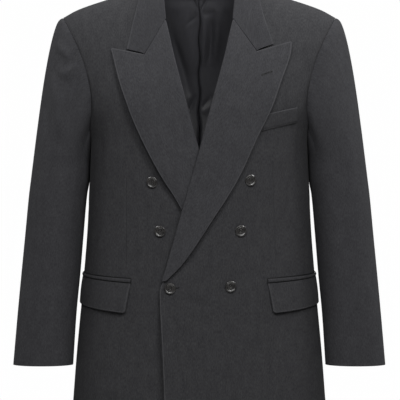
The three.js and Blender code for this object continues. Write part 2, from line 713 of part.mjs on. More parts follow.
// A pocket piece that follows the ring from its front end round to the side.
function pocketRows(upper, lower, columns, rows) {
  const angleAt = (out, height) => angleOfShare(out / ringHalf(height));
  return steps(rows).map((rise) =>
    steps(columns).map((turn) => {
      const frontOut = mix(lower.out, upper.out, rise);
      const frontHeight = mix(lower.height, upper.height, rise);
      const sideHeight = mix(lower.side, upper.side, rise);
      const angle = mix(angleAt(frontOut, frontHeight), POCKET_SIDE_ANGLE, turn);
      const height = mix(frontHeight, sideHeight, turn);
      const foot = mix(lower.frontOff, lower.sideOff, turn);
      return ringPoint(angle, height, mix(foot, upper.off, rise) + POCKET_ROUND * 4 * rise * (1 - rise));
    }),
  );
}
function flapRows() {
  const frontOff = FLAP_OFF.frontFoot + POCKET_CLOTH;
  const sideOff = FLAP_OFF.sideFoot + POCKET_CLOTH;
  const upper = { ...POCKET.frontFlap, side: POCKET.sideFlap, off: FLAP_OFF.top + POCKET_CLOTH };
  const lower = { ...POCKET.frontFoot, side: POCKET.sideFoot, frontOff, sideOff };
  return pocketRows(upper, lower, 9, 4);
}
function jetRows() {
  const off = JET_OFF + WELT_CLOTH;
  const upper = { ...POCKET.frontTop, side: POCKET.sideTop, off };
  const height = POCKET.frontFlap.height + 2 * SEAM_GAP;
  const side = POCKET.sideFlap + 2 * SEAM_GAP;
  const lower = { out: POCKET.frontFlap.out, height, side, frontOff: off, sideOff: off };
  return pocketRows(upper, lower, 9, 2);
}

// The chest welt, sewn to the upper front at the same slant as the pocket mouth.
function weltRows() {
  return steps(3).map((rise) =>
    steps(8).map((share) => {
      const out = mix(WELT.inner.out, WELT.outer.out, share);
      const foot = mix(WELT.inner.foot, WELT.outer.foot, share);
      const top = mix(WELT.inner.top, WELT.outer.top, share);
      return frontPoint("over", out, mix(foot, top, rise), WELT_OFF + WELT_CLOTH);
    }),
  );
}

// The back lining, one half: from the pleat to the side of the back, hem to neck, inside the back panel.
function liningRows(over) {
  const columns = 8;
  const inner = over ? 0 : -PLEAT.overlap;
  return steps(18).map((rise) => {
    return steps(columns).map((share) => {
      const level = mix(LINING_HEM, LINING_TOP, rise);
      const outer = LINING_SHARE * Math.min(ringHalf(level), mix(165, 96, soft((level + 150) / 130)) / LINING_SHARE);
      const out = mix(inner, outer, share);
      const pleat = over ? PLEAT.depth * soft(1 - (out - inner) / PLEAT.reach) : 0;
      return bodyPointOff(1, out, level, -LINING_OFF - pleat);
    });
  });
}

// A four-hole button turned on a lathe, with a raised rim and a dished middle, facing +Z.
const wasm = await Module();
wasm.setup();
function solidOf(geometry) {
  geometry.deleteAttribute("normal");
  geometry.deleteAttribute("uv");
  const merged = mergeVertices(geometry, 1e-4);
  return new wasm.Manifold(
    new wasm.Mesh({
      numProp: 3,
      vertProperties: new Float32Array(merged.attributes.position.array),
      triVerts: new Uint32Array(merged.index.array),
    }),
  );
}
function geometryOf(solid) {
  const mesh = solid.getMesh();
  const geometry = new THREE.BufferGeometry();
  geometry.setAttribute("position", new THREE.BufferAttribute(mesh.vertProperties, 3));
  geometry.setIndex(new THREE.BufferAttribute(mesh.triVerts, 1));
  return geometry;
}
function buttonGeometry() {
  const profile = [
    { radius: 0, height: 0 },
    { radius: 0.62, height: 0 },
    { radius: 0.93, height: 0.3 },
    { radius: 1, height: 0.62 },
    { radius: 0.93, height: 0.98 },
    { radius: 0.78, height: 0.94 },
    { radius: 0.62, height: 0.62 },
    { radius: 0, height: 0.56 },
  ].map((p) => new THREE.Vector2(p.radius * BUTTON_RADIUS, p.height * BUTTON_THICK));
  let button = solidOf(new THREE.LatheGeometry(profile, 20).rotateX(Math.PI / 2));
  for (let i = 0; i < 4; i += 1) {
    const turn = (i + 0.5) * 90 * DEGREE;
    const drill = new THREE.CylinderGeometry(THREAD_HOLE.radius, THREAD_HOLE.radius, 20, 8).rotateX(Math.PI / 2);
    drill.translate(THREAD_HOLE.ring * Math.cos(turn), THREAD_HOLE.ring * Math.sin(turn), 0);
    button = button.subtract(solidOf(drill));
  }
  return geometryOf(button);
}

const charcoal = new THREE.MeshStandardMaterial({ color: 0x3b3b3d, roughness: 0.92, metalness: 0 });
const satin = new THREE.MeshStandardMaterial({ color: 0x2b2b2e, roughness: 0.45, metalness: 0 });
const horn = new THREE.MeshStandardMaterial({ color: 0x232324, roughness: 0.3, metalness: 0 });

const blazer = new THREE.Group();
function add(name, geometry, material = charcoal) {
  const mesh = new THREE.Mesh(geometry, material);
  mesh.name = name;
  blazer.add(mesh);
  return mesh;
}
// One wall, or a pair of walls, from the outer rows on the wearer's left and what makes the inner ones.
function addPair(name, outer, inner, material = charcoal, turned = false) {
  add(`${name}_left`, wall(outer, inner, turned), material);
  add(`${name}_right`, wall(mirrored(outer), mirrored(inner), turned), material);
}
function addCloth(name, rows, thick, material = charcoal, turned = false) {
  add(name, wall(rows, inside(rows, thick, turned), turned), material);
}
// A sleeve piece on both sides, parted level with the armpit into the arm and the head.
function addSleeve(name, fromAngle, toAngle, columns) {
  const rows = (depth) => sleeveRows(fromAngle, toAngle, columns, depth);
  const arm = (depth) => sleeveStretch(rows(depth), 0, ARM_ROWS, -SEAM_GAP / 2);
  const head = (depth) => sleeveStretch(rows(depth), ARM_ROWS, ARM_ROWS + HEAD_ROWS, SEAM_GAP / 2);
  addPair(name, arm(0), arm(SLEEVE_CLOTH));
  addPair(`${name}_head`, head(0), head(SLEEVE_CLOTH));
}

add("front_left", wall(frontRows("over", 0), frontRows("over", -FRONT_CLOTH)));
add("front_right", wall(mirrored(frontRows("under", 0)), mirrored(frontRows("under", -FRONT_CLOTH))));
addPair("side", sideRows(0), sideRows(-BACK_CLOTH));
addPair("back", backRows(0), backRows(-BACK_CLOTH), charcoal, true);
addCloth("lapel_left", lapelRows("over"), LAPEL_CLOTH);
addCloth("lapel_right", mirrored(lapelRows("under")), LAPEL_CLOTH);
addCloth("collar_fall", roundNeck(fallHalf("over"), fallHalf("under")), LAPEL_CLOTH);
addCloth("collar_stand", roundNeck(standHalf("over"), standHalf("under")), LAPEL_CLOTH);
addSleeve("top_sleeve", SLEEVE_FRONT_SEAM, SLEEVE_BACK_SEAM - 360, 14);
addSleeve("under_sleeve", SLEEVE_BACK_SEAM, SLEEVE_FRONT_SEAM, 6);
addPair("pocket_flap", flapRows(), inside(flapRows(), POCKET_CLOTH));
addPair("pocket_jet", jetRows(), inside(jetRows(), WELT_CLOTH));
addCloth("chest_welt", weltRows(), WELT_CLOTH);
addCloth("back_lining_left", liningRows(true), LINING_CLOTH, satin, true);
addCloth("back_lining_right", mirrored(liningRows(false)), LINING_CLOTH, satin, true);

const buttonShape = buttonGeometry();
for (const { name, side, out, height } of BUTTONS) {
  const seat = frontPoint(side, out, height);
  const face = frontPoint(side, out, height, 1).sub(seat);
  const turn = side === "under" ? -1 : 1;
  const button = add(name, buttonShape, horn);
  const away = new THREE.Vector3(face.x * turn, face.y, face.z).normalize();
  button.position.set(seat.x * turn, seat.y, seat.z).addScaledVector(away, BUTTON_STAND_OFF);
  button.quaternion.setFromUnitVectors(new THREE.Vector3(0, 0, 1), away);
}

export default blazer;
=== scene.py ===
import math

import bmesh
import bpy
import numpy as np
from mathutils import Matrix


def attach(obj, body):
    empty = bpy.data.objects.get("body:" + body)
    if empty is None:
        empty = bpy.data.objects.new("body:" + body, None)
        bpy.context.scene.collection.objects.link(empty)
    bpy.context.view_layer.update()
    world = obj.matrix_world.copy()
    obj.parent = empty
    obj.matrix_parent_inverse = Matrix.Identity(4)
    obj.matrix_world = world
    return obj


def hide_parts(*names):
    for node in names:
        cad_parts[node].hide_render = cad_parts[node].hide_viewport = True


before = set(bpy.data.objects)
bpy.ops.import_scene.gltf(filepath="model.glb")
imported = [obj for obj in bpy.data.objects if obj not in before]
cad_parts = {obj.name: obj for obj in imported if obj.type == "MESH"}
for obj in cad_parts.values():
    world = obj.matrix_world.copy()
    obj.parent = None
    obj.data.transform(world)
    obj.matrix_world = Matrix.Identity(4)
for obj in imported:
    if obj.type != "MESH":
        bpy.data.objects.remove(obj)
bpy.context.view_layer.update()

# Camera
# The jacket is seen level and square from the front, from 3.3 m away and level with its waist, so that
# one millimetre at the side seams is the same size as in the photograph. The hem and collar are cut off.
camera = bpy.data.objects.new("camera", bpy.data.cameras.new("camera"))
camera.location = (0.0013, -3.3, -0.394)
camera.rotation_euler = (math.radians(90), 0, 0)
camera.data.sensor_width = 36
camera.data.lens = 160.5
bpy.context.scene.collection.objects.link(camera)
bpy.context.scene.camera = camera
bpy.context.scene.view_settings.view_transform = "Standard"


# Studio
# A white room, as for a garment cut out on white, with two soft boxes above the front and one behind each
# shoulder. The plain pale floor lies as far below the shoulders as where a standing wearer's feet would be.
def node(tree, kind, inputs, **settings):
    """Adds a shader node with its settings, and its inputs as values or as other nodes' outputs."""
    made = tree.nodes.new("ShaderNode" + kind)
    for key, value in settings.items():
        setattr(made, key, value)
    for key, value in inputs.items():
        if isinstance(value, bpy.types.NodeSocket):
            tree.links.new(value, made.inputs[key])
        else:
            made.inputs[key].default_value = value
    return made


def linear(code):
    """A colour from its sRGB hex code, as the shader takes it."""
    shares = [int(code[i : i + 2], 16) / 255 for i in (1, 3, 5)]
    return [*(s / 12.92 if s <= 0.04045 else ((s + 0.055) / 1.055) ** 2.4 for s in shares), 1]


ROOM_LIGHT = 0.02
room = bpy.data.worlds.new("white_room")
room.use_nodes = True
room.node_tree.nodes.clear()
seen = node(room.node_tree, "LightPath", {})
glow = node(room.node_tree, "Background", {"Color": linear("#ffffff"), "Strength": ROOM_LIGHT})
paper = node(room.node_tree, "Background", {"Color": linear("#ffffff"), "Strength": 0.995})
both = node(room.node_tree, "MixShader", {0: seen.outputs["Is Camera Ray"], 1: glow.outputs[0], 2: paper.outputs[0]})
node(room.node_tree, "OutputWorld", {"Surface": both.outputs[0]})
bpy.context.scene.world = room

SOFT_BOXES = [
    {"name": "box_front_left", "place": (-0.5, -2.0, 1.05), "side": 0.8, "watts": 20},
    {"name": "box_front_right", "place": (0.75, -2.0, 1.1), "side": 0.8, "watts": 25},
    {"name": "box_left", "place": (-1.9, 0.5, 1.9), "side": 0.9, "watts": 36},
    {"name": "box_right", "place": (1.9, 0.5, 1.9), "side": 0.9, "watts": 56},
]
for soft_box in SOFT_BOXES:
    light = bpy.data.lights.new(soft_box["name"], "AREA")
    light.size = soft_box["side"]
    light.energy = soft_box["watts"]
    lamp = bpy.data.objects.new(soft_box["name"], light)
    lamp.location = soft_box["place"]
    towards = -lamp.location + camera.location.__class__((0, 0, -0.3))
    lamp.rotation_euler = towards.to_track_quat("-Z", "Y").to_euler()
    bpy.context.scene.collection.objects.link(lamp)

FLOOR_LEVEL = -1.45
floor_mesh = bpy.data.meshes.new("floor")
bm = bmesh.new()
bmesh.ops.create_circle(bm, cap_ends=True, segments=96, radius=1.6)
bmesh.ops.translate(bm, vec=(0, 0, FLOOR_LEVEL), verts=bm.verts)
bm.to_mesh(floor_mesh)
bm.free()
floor = bpy.data.objects.new("floor", floor_mesh)
bpy.context.scene.collection.objects.link(floor)
painted = bpy.data.materials.new("pale_matt_paint")
painted.use_nodes = True
painted.node_tree.nodes["Principled BSDF"].inputs["Base Color"].default_value = linear("#e9e8e6")
painted.node_tree.nodes["Principled BSDF"].inputs["Roughness"].default_value = 0.8
floor_mesh.materials.append(painted)


# Fronts
# Two wide panels of charcoal worsted wool over canvas, from the side seam to the folded front edge, with
# one long dart each. The wearer's left front laps over the right one and stands a little off it.
def worsted(name, dark, light):
    """Fine matt worsted: combed wool yarn in a tight twill, so the eye sees no gloss, only a soft mottle."""
    wool = bpy.data.materials.new(name)
    wool.use_nodes = True
    tree = wool.node_tree
    shader = tree.nodes["Principled BSDF"]
    uv = node(tree, "UVMap", {}, uv_map="cloth")
    # warp streaks are under 1 mm wide in the real cloth and drawn 2.2 mm wide, so that they show
    cloth_mm = node(tree, "Mapping", {"Vector": uv.outputs[0], "Scale": (1000, 420, 1000)})
    slub = node(tree, "TexNoise", {"Vector": cloth_mm.outputs[0], "Scale": 0.45, "Detail": 2.0, "Roughness": 0.6})
    cloud = node(tree, "TexNoise", {"Vector": cloth_mm.outputs[0], "Scale": 0.09, "Detail": 2.0, "Roughness": 0.5})
    both = node(
        tree, "Math", {0: cloud.outputs["Fac"], 1: 0.4, 2: slub.outputs["Fac"]}, operation="MULTIPLY_ADD"
    )
    mottle = node(tree, "MapRange", {"Value": both.outputs[0], "From Min": 0.42, "From Max": 0.98})
    tone = node(
        tree, "Mix", {0: mottle.outputs[0], 6: linear(dark), 7: linear(light)}, data_type="RGBA"
    )
    # painted highlight: where the piece's painted_edge_highlight attribute is over 0, the colour is mixed towards pale
    # grey along its edges
    rim = node(tree, "Attribute", {}, attribute_name="painted_edge_highlight")
    painted_rim_light = node(tree, "Mix", {0: rim.outputs["Fac"], 6: tone.outputs[2], 7: linear("#77777a")}, data_type="RGBA")
    tree.links.new(painted_rim_light.outputs[2], shader.inputs["Base Color"])
    # twill lines are 0.5 mm apart in the real cloth and drawn 1.4 mm apart, so that they show
    line = node(tree, "Mapping", {"Vector": uv.outputs[0], "Rotation": (0, 0, math.radians(38))})
    twill = node(
        tree,
        "TexWave",
        {"Vector": line.outputs[0], "Scale": 115, "Distortion": 1.2, "Detail": 1.0, "Detail Scale": 300},
    )
    nap = node(tree, "TexNoise", {"Vector": cloth_mm.outputs[0], "Scale": 0.9, "Detail": 2.0})
    height = node(
        tree, "Math", {0: twill.outputs["Fac"], 1: 0.35, 2: nap.outputs["Fac"]}, operation="MULTIPLY_ADD"
    )
    relief = node(tree, "Bump", {"Height": height.outputs[0], "Strength": 0.5, "Distance": 0.0003})
    tree.links.new(relief.outputs[0], shader.inputs["Normal"])
    shader.inputs["Roughness"].default_value = 0.9
    shader.inputs["Specular IOR Level"].default_value = 0.18
    shader.inputs["Sheen Weight"].default_value = 0.025
    shader.inputs["Sheen Roughness"].default_value = 0.45
    return wool


def satin(name, dark, light):
    """Acetate satin: filament yarn floating over the face, so folds catch a soft light along their ridges."""
    silk = bpy.data.materials.new(name)
    silk.use_nodes = True
    tree = silk.node_tree
    shader = tree.nodes["Principled BSDF"]
    uv = node(tree, "UVMap", {}, uv_map="cloth")
    mm = node(tree, "Mapping", {"Vector": uv.outputs[0], "Scale": (1000, 300, 1000)})
    cloud = node(tree, "TexNoise", {"Vector": mm.outputs[0], "Scale": 0.25, "Detail": 2.0})
    tone = node(tree, "Mix", {0: cloud.outputs["Fac"], 6: linear(dark), 7: linear(light)}, data_type="RGBA")
    tree.links.new(tone.outputs[2], shader.inputs["Base Color"])
    yarn = node(tree, "TexNoise", {"Vector": mm.outputs[0], "Scale": 1.1, "Detail": 1.0})
    relief = node(tree, "Bump", {"Height": yarn.outputs["Fac"], "Strength": 0.25, "Distance": 0.0002})
    tree.links.new(relief.outputs[0], shader.inputs["Normal"])
    shader.inputs["Roughness"].default_value = 0.42
    shader.inputs["Specular IOR Level"].default_value = 0.5
    return silk


body_wool = worsted("charcoal_worsted_wool", "#313134", "#474749")
lining_satin = satin("charcoal_lining_satin", "#3a3a3e", "#47474b")

cut_pieces = []


def cloth(name, across, up, shape, thick, edge, wool, node_names, inner=None,
          painted_highlight=None):
    """One cut piece: a flat grid bent to shape(share across, share up) in mm, given its wall and soft edges.
    Where painted_highlight(share across, share up) is over 0, a highlight is painted into the cloth's colour, paler
    along the edge."""
    mesh = bpy.data.meshes.new(name)
    grid = bmesh.new()
    bmesh.ops.create_grid(grid, x_segments=len(across) - 1, y_segments=len(up) - 1, size=0.5)
    grid.to_mesh(mesh)
    grid.free()
    shares = np.meshgrid(across, up)
    places = shape(*shares) / 1000
    mesh.vertices.foreach_set("co", places.reshape(-1).astype(np.float32))
    lengths = [np.linalg.norm(np.diff(places, axis=axis), axis=2) for axis in (1, 0)]
    wide = np.concatenate([np.zeros((len(up), 1)), np.cumsum(lengths[0], axis=1)], axis=1)
    wide -= wide[:, len(across) // 2][:, None]
    tall = np.concatenate([np.zeros((1, len(across))), np.cumsum(lengths[1], axis=0)])
    pattern_shift = 0.37 * (len(cut_pieces) + 1)
    uv = np.stack([wide + pattern_shift, tall + pattern_shift * 1.7], axis=2).reshape(-1, 2)
    corner = np.zeros(len(mesh.loops), np.int32)
    mesh.loops.foreach_get("vertex_index", corner)
    layer = mesh.uv_layers.new(name="cloth")
    layer.data.foreach_set("uv", uv[corner].reshape(-1).astype(np.float32))
    # the painted edge highlight, stored as a mask on the mesh
    rim = np.clip(painted_highlight(*shares), 0, 1) if painted_highlight else 0 * shares[0]
    painted_rim_light = mesh.attributes.new("painted_edge_highlight", "FLOAT", "POINT")
    painted_rim_light.data.foreach_set("value", rim.reshape(-1).astype(np.float32))
    mesh.polygons.foreach_set("use_smooth", np.ones(len(mesh.polygons), bool))
    mesh.materials.append(wool)
    mesh.materials.append(inner or wool)
    piece = bpy.data.objects.new(name, mesh)
    bpy.context.scene.collection.objects.link(piece)
    wall = piece.modifiers.new("wall", "SOLIDIFY")
    wall.thickness = thick / 1000
    wall.offset = -1
    wall.material_offset = 1
    wall.material_offset_rim = 0
    soft_edge = piece.modifiers.new("soft_edge", "BEVEL")
    soft_edge.width = edge / 1000
    soft_edge.segments = 3
    soft_edge.limit_method = "ANGLE"
    soft_edge.angle_limit = math.radians(50)
    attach(piece, "root")
    if node_names:
        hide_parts(*node_names)
    cut_pieces.append(piece)
    return piece


def mix(a, b, share):
    return a + (b - a) * share


def soft(share):
    held_in = np.clip(share, 0, 1)
    return held_in * held_in * (3 - 2 * held_in)


def reader(table):
    """Reads a short table of (place, value) as a smooth curve with no overshoot."""
    x, y = (np.array(column, float) for column in zip(*sorted(table)))
    rise = np.diff(y) / np.diff(x)
    with np.errstate(divide="ignore", invalid="ignore"):
        bend = np.where(rise[1:] * rise[:-1] > 0, 2 * rise[1:] * rise[:-1] / (rise[1:] + rise[:-1]), 0)
    slope = np.concatenate([rise[:1], bend, rise[-1:]])

    def read(at):
        v = np.clip(at, x[0], x[-1])
        i = np.clip(np.searchsorted(x, v, side="left") - 1, 0, len(x) - 2)
        wide = x[i + 1] - x[i]
        t = (v - x[i]) / wide
        s = 1 - t
        bends = s * s * t * slope[i] * wide - s * t * t * slope[i + 1] * wide
        return s * s * (1 + 2 * t) * y[i] + t * t * (3 - 2 * t) * y[i + 1] + bends

    return read


# the body as level rings: half width, depth in front and depth behind, by height
RINGS = [
    (-800, 235.5, 142, 135), (-680, 226.5, 139, 128), (-560, 215.5, 135, 118), (-430, 205.5, 132, 112),
    (-383, 203.8, 133, 114), (-340, 201, 134.5, 119), (-295, 200, 136, 124), (-233, 214, 135.5, 129),
    (-150, 246, 129, 131), (-57, 294, 119, 127), (45, 300, 110, 120),
]
ring_half, ring_front, ring_back = (reader([(row[0], row[i]) for row in RINGS]) for i in (1, 2, 3))
ridge = reader([(0, 42), (30, 34), (60, 16), (90, 0), (130, -10.5), (174, -24), (226, -42.6), (252, -57)])
ARMHOLE_FRONT = [
    (-262, 199.9), (-233, 196.9), (-205, 197.7), (-180, 201.5), (-155, 207.6), (-129, 216.5),
    (-106, 226), (-78, 240), (-57, 252),
]
ARMHOLE_BACK = [(-250, 184.5), (-215, 192), (-180, 201), (-140, 214), (-100, 231), (-75, 242), (-57, 252)]
FRONT_EDGE = [
    (-800, -58.5), (-748, -60.4), (-665, -63.9), (-620, -66.2), (-585, -68.6), (-562, -69.4), (-549, -67.4),
    (-541, -64.4), (-502, -52.6), (-394, -23.2), (-310, 0.5), (-225, 23.2), (-138, 46.3), (-70, 62),
    (-45, 70), (-20, 80), (0, 90),
]
armhole_front, armhole_back, front_edge = reader(ARMHOLE_FRONT), reader(ARMHOLE_BACK), reader(FRONT_EDGE)
HEM, CHEST, BREAK, GORGE, NECK_POINT = -792, -235, -541, -70, 90
ARMHOLE_FRONT_FOOT, ARMPIT, ARMHOLE_BACK_FOOT = -262, -295, -250
RING_POWER, SHOULDER_POWER = 2.35, 1.6
SEAM = 0.04


def body_point(way, out, height):
    """The body's outer face in front (way -1) and behind (way 1), closed up to the shoulder seam."""
    share = np.minimum(np.abs(out) / ring_half(height), 1)
    full = (ring_front(height) if way < 0 else ring_back(height)) * (1 - share**RING_POWER) ** (1 / RING_POWER)
    climb = np.clip((height - CHEST) / (ridge(np.abs(out)) - CHEST), 0, 1)
    left = (1 - climb**SHOULDER_POWER) ** (1 / SHOULDER_POWER)
    seam = np.where(height <= CHEST, 0, 12 - 10 * np.abs(out) / 252)
    depth = np.where(height <= CHEST, way * full, mix(seam, 0, left) + way * left * full)
    depth = np.where(full - way * seam > 0, depth, seam)
    return np.stack(np.broadcast_arrays(out, depth, height), axis=-1).astype(float)


def body_off(way, out, height, off):
    """The same face moved out along its own normal, which front and back share on the shoulder seam."""
    step = 0.8
    out, height, off = np.broadcast_arrays(out, height, off)
    top = ridge(np.abs(out))
    along = ridge(np.abs(out) + step) - ridge(np.abs(out) - step)
    level = np.stack([-np.sign(out) * along, 0 * along, 0 * along + 2 * step], axis=-1)
    across = body_point(way, out + step, height) - body_point(way, out - step, height)
    above = np.minimum(height + step, top - 0.02)
    rise = body_point(way, out, above) - body_point(way, out, above - 2 * step)
    normal = np.where((height > top - 1)[..., None], level, -way * np.cross(across, rise))
    normal /= np.linalg.norm(normal, axis=-1, keepdims=True)
    return body_point(way, out, height) + normal * off[..., None]


def panel_height(step, out, foot):
    """Height of a panel's row: level up to the chest, then climbing in even arcs to the shoulder seam."""
    low = mix(HEM, BREAK, np.sin(np.clip(step / 6, 0, 1) * 1.35) / math.sin(1.35))
    middle = mix(BREAK, foot, (step - 6) / 5)
    arc = np.sin(np.clip((step - 12) / 9, 0, 1) * math.pi / 2) ** (2 / SHOULDER_POWER)
    high = mix(CHEST, ridge(np.abs(out)), arc)
    return np.select([step < 6, step <= 11, step <= 12], [low, middle, mix(foot, CHEST, step - 11)], high)


def meets(step, boundary, first, foot):
    """Where a row meets a boundary that is given by height."""
    out = np.full_like(step, first)
    for _ in range(24):
        out = boundary(panel_height(step, out, foot))
    return out


def seamed(way, points, step):
    """Keeps the last rows half a seam short of the shoulder seam."""
    seam = 12 - 10 * np.abs(points[..., 0]) / 252 + way * SEAM / 2
    held = np.where(way * (points[..., 1] - seam) < 0, seam, points[..., 1])
    points[..., 1] = np.where(step > 20, held, points[..., 1])
    return points


def rolled_in(out, outer, height, foot, step):
    """The last few millimetres roll in towards the armhole seam."""
    return -1.5 * soft(1 - (outer - out) / 4.5) * soft((height - foot) / 25) * soft((21 - step) / 2)


def front_side(height):
    return np.where(height <= ARMHOLE_FRONT_FOOT, 0.97 * ring_half(height), armhole_front(height))


def hem_drop(points, step):
    """The hem hangs lower towards the front."""
    lower = HEM - 8 * soft((-points[..., 1] - 20) / 90)
    points[..., 2] += (lower - HEM) * np.clip(1 - step, 0, 1)
    return points


def folds(x, z, lines):
    """Soft troughs (-) and ridges (+) in mm, each along a given line of (x, z), fading to its ends."""
    lift = np.zeros(np.broadcast(x, z).shape)
    for depth, width, *path in lines:
        points = np.array(path, float)
        lengths = np.linalg.norm(np.diff(points, axis=0), axis=1)
        nearest = np.full(lift.shape, 1e9)
        along = np.zeros(lift.shape)
        for i, length in enumerate(lengths):
            way = (points[i + 1] - points[i]) / length
            t = np.clip((x - points[i, 0]) * way[0] + (z - points[i, 1]) * way[1], 0, length)
            gap = np.hypot(x - points[i, 0] - t * way[0], z - points[i, 1] - t * way[1])
            along = np.where(gap < nearest, (lengths[:i].sum() + t) / lengths.sum(), along)
            nearest = np.minimum(nearest, gap)
        lift += depth * np.exp(-((nearest / width) ** 2)) * np.sin(np.pi * np.clip(along, 0, 1)) ** 0.7
    return lift


PANEL_STEPS = np.concatenate([
    np.linspace(0, 6, 61), np.linspace(6, 11, 67)[1:], np.linspace(11, 12, 8)[1:], np.linspace(12, 21, 64)[1:],
])


def front_lift(over, out, height):
    """How far the upper front stands off the ring where it crosses the lower one."""
    if not over:
        return 0 * out
    return 6.2 * soft((126 - out) / 54) * soft((-190 - height) / 110)


def front_off(over, out, height, off):
    return body_off(-1, out, height, off + front_lift(over, out, height))


OVER_FOLDS = [
    (-1.6, 6, (-44, -565), (-20, -572), (6, -579), (26, -588)),
    (-1.5, 13, (28, -580), (35, -610), (35, -650), (33, -690)),
    (1.2, 16, (62, -600), (66, -650), (64, -730)),
    (-1.2, 18, (100, -610), (96, -680), (100, -760)),
    (-1.2, 14, (-30, -620), (-26, -690), (-28, -770)),
    (-1.3, 14, (150, -330), (152, -400), (146, -480)),
    (1.0, 16, (176, -340), (170, -420), (176, -500)),
    (-0.7, 7, (158, -70), (160, -105), (166, -140)),
    (-0.8, 9, (186, -120), (186, -160), (182, -200)),
]
UNDER_FOLDS = [
    (-5.5, 16, (66, -560), (74, -620), (75, -700), (71, -800), (67, -900)),
    (-3.5, 10, (70, -556), (58, -504), (44, -450), (30, -400), (16, -350)),
    (-4.5, 10, (24, -424), (50, -380), (80, -328), (108, -268), (132, -208), (148, -150)),
    (-0.8, 5, (157, -45), (158, -75), (161, -110)),
    (-0.9, 5, (173, -50), (174, -80), (178, -118)),
    (-0.8, 5, (189, -55), (190, -85), (188, -125)),
    (-1.5, 12, (176, -150), (180, -230), (178, -330)),
    (1.2, 15, (155, -150), (160, -230), (160, -300)),
    (-1.3, 14, (158, -330), (150, -400), (156, -490)),
    (-1.2, 18, (110, -610), (104, -680), (108, -760)),
    (1.0, 16, (150, -610), (156, -680), (152, -760)),
    (-1.0, 10, (80, -480), (110, -500), (150, -512)),
]
DARTS = {
    "over": {"line": reader([(-800, 137.5), (-527, 136.8), (-305, 131.4), (-57, 130)]), "top": -305, "foot": -527},
    "under": {"line": reader([(-800, 131.5), (-57, 131.5)]), "top": -326, "foot": -522},
}
BY_DART = 48  # columns from the front edge to the dart
DART_HALF = 3  # mm on each side of the dart, with columns close together


def front_shape(side):
    over = side == "over"
    dart = DARTS[side]

    def shape(u, v):
        step = np.interp(v * (len(PANEL_STEPS) - 1), np.arange(len(PANEL_STEPS)), PANEL_STEPS)
        inner = meets(step, front_edge, 60.0, ARMHOLE_FRONT_FOOT) + soft((step - 5.9) * 8)
        outer = meets(step, front_side, 215.0, ARMHOLE_FRONT_FOOT) - SEAM / 2
        mid = dart["line"](panel_height(step, 131.0, ARMHOLE_FRONT_FOOT))
        out = np.where(
            u < 0.5,
            mix(inner, mid - DART_HALF, np.clip(u / 0.5, 0, 1)),
            mix(mid + DART_HALF, outer, np.clip((u - 0.52) / 0.48, 0, 1)),
        )
        out = np.where((u >= 0.5) & (u <= 0.52), mid + DART_HALF * (u - 0.51) / 0.01, out)
        height = panel_height(step, out, ARMHOLE_FRONT_FOOT)
        sewn = soft((dart["top"] - height) / 40) * soft((height - dart["foot"]) / 6)
        dip = -1.1 * np.exp(-(((out - mid) / 0.9) ** 2)) * sewn
        dip += folds(out, height, OVER_FOLDS if over else UNDER_FOLDS)
        edge_free = soft((out - inner) / 12) * soft((outer - out) / 12) * soft((21 - step) / 2)
        lift = dip * edge_free
        if over:
            lift += 4.4 * soft(1 - (out - inner) / 20) * soft((-575 - height) / 60)
        lift += rolled_in(out, outer, height, ARMHOLE_FRONT_FOOT, step)
        points = front_off(over, out, height, lift)
        return hem_drop(seamed(-1, points, step), step)

    return shape


def mirror(shape):
    """The same piece on the wearer's right."""
    return lambda u, v: shape(1 - u, v) * (-1, 1, 1)


front_columns = np.concatenate([
    [0, 0.003, 0.006], np.linspace(0.0104, 0.5, 48), np.linspace(0.5, 0.52, 9)[1:], np.linspace(0.52, 0.96, 23)[1:],
    [0.972, 0.982, 0.991, 1],
])
panel_rows = np.linspace(0, 1, len(PANEL_STEPS))
# the front edge below the lapel gets a painted highlight
cloth("left_front", front_columns, panel_rows, front_shape("over"), 2, 0.8, body_wool, ["front_left"],
      inner=lining_satin,
      painted_highlight=lambda u, v: soft((0.006 - u) / 0.005) * soft((0.42 - v) * 9) * 0.25)
cloth("right_front", 1 - front_columns[::-1], panel_rows, mirror(front_shape("under")), 2, 0.8, body_wool,
      ["front_right"], inner=lining_satin)


# Side panels
# A narrow panel under each arm, of the same wool, sewn to the front and the back and cut away below the
# armhole. It has no fold of its own apart from a slight drag at the waist.
def ring_point(angle, height, off=0.0):
    """The body below the armpit by angle: 0 is the middle of the front, 90 the side and 180 the back."""
    s, c = np.sin(np.radians(angle)), np.cos(np.radians(angle))
    full = np.where(c > 0, ring_front(height), ring_back(height))
    out = ring_half(height) * np.abs(s) ** (2 / RING_POWER)
    back = -np.sign(c) * full * np.abs(c) ** (2 / RING_POWER)
    nx = (out / ring_half(height)) ** (RING_POWER - 1) / ring_half(height)
    ny = np.sign(back) * (np.abs(back) / full) ** (RING_POWER - 1) / full
    size = np.hypot(nx, ny)
    return np.stack(np.broadcast_arrays(out + off * nx / size, back + off * ny / size, height), axis=-1)


def angle_of(share):
    return np.degrees(np.arcsin(share ** (RING_POWER / 2)))


FRONT_SEAM_ANGLE, BACK_SEAM_ANGLE = angle_of(0.97), 180 - angle_of(0.88)


def armhole_foot(angle):
    """Height of the armhole under the arm, by angle round the body."""
    span = np.where(angle < 90, 90 - FRONT_SEAM_ANGLE, BACK_SEAM_ANGLE - 90)
    rise = np.where(angle < 90, ARMHOLE_FRONT_FOOT, ARMHOLE_BACK_FOOT) - ARMPIT
    return ARMPIT + rise * np.abs((angle - 90) / span) ** 2


SIDE_FOLDS = [
    (-1.6, 12, (96, -330), (92, -400), (98, -470)),
    (-1.2, 8, (84, -400), (98, -425), (112, -440)),
    (1.2, 14, (104, -560), (100, -660), (106, -760)),
    (0.7, 14, (90, -285), (90, -335), (90, -376)),
]


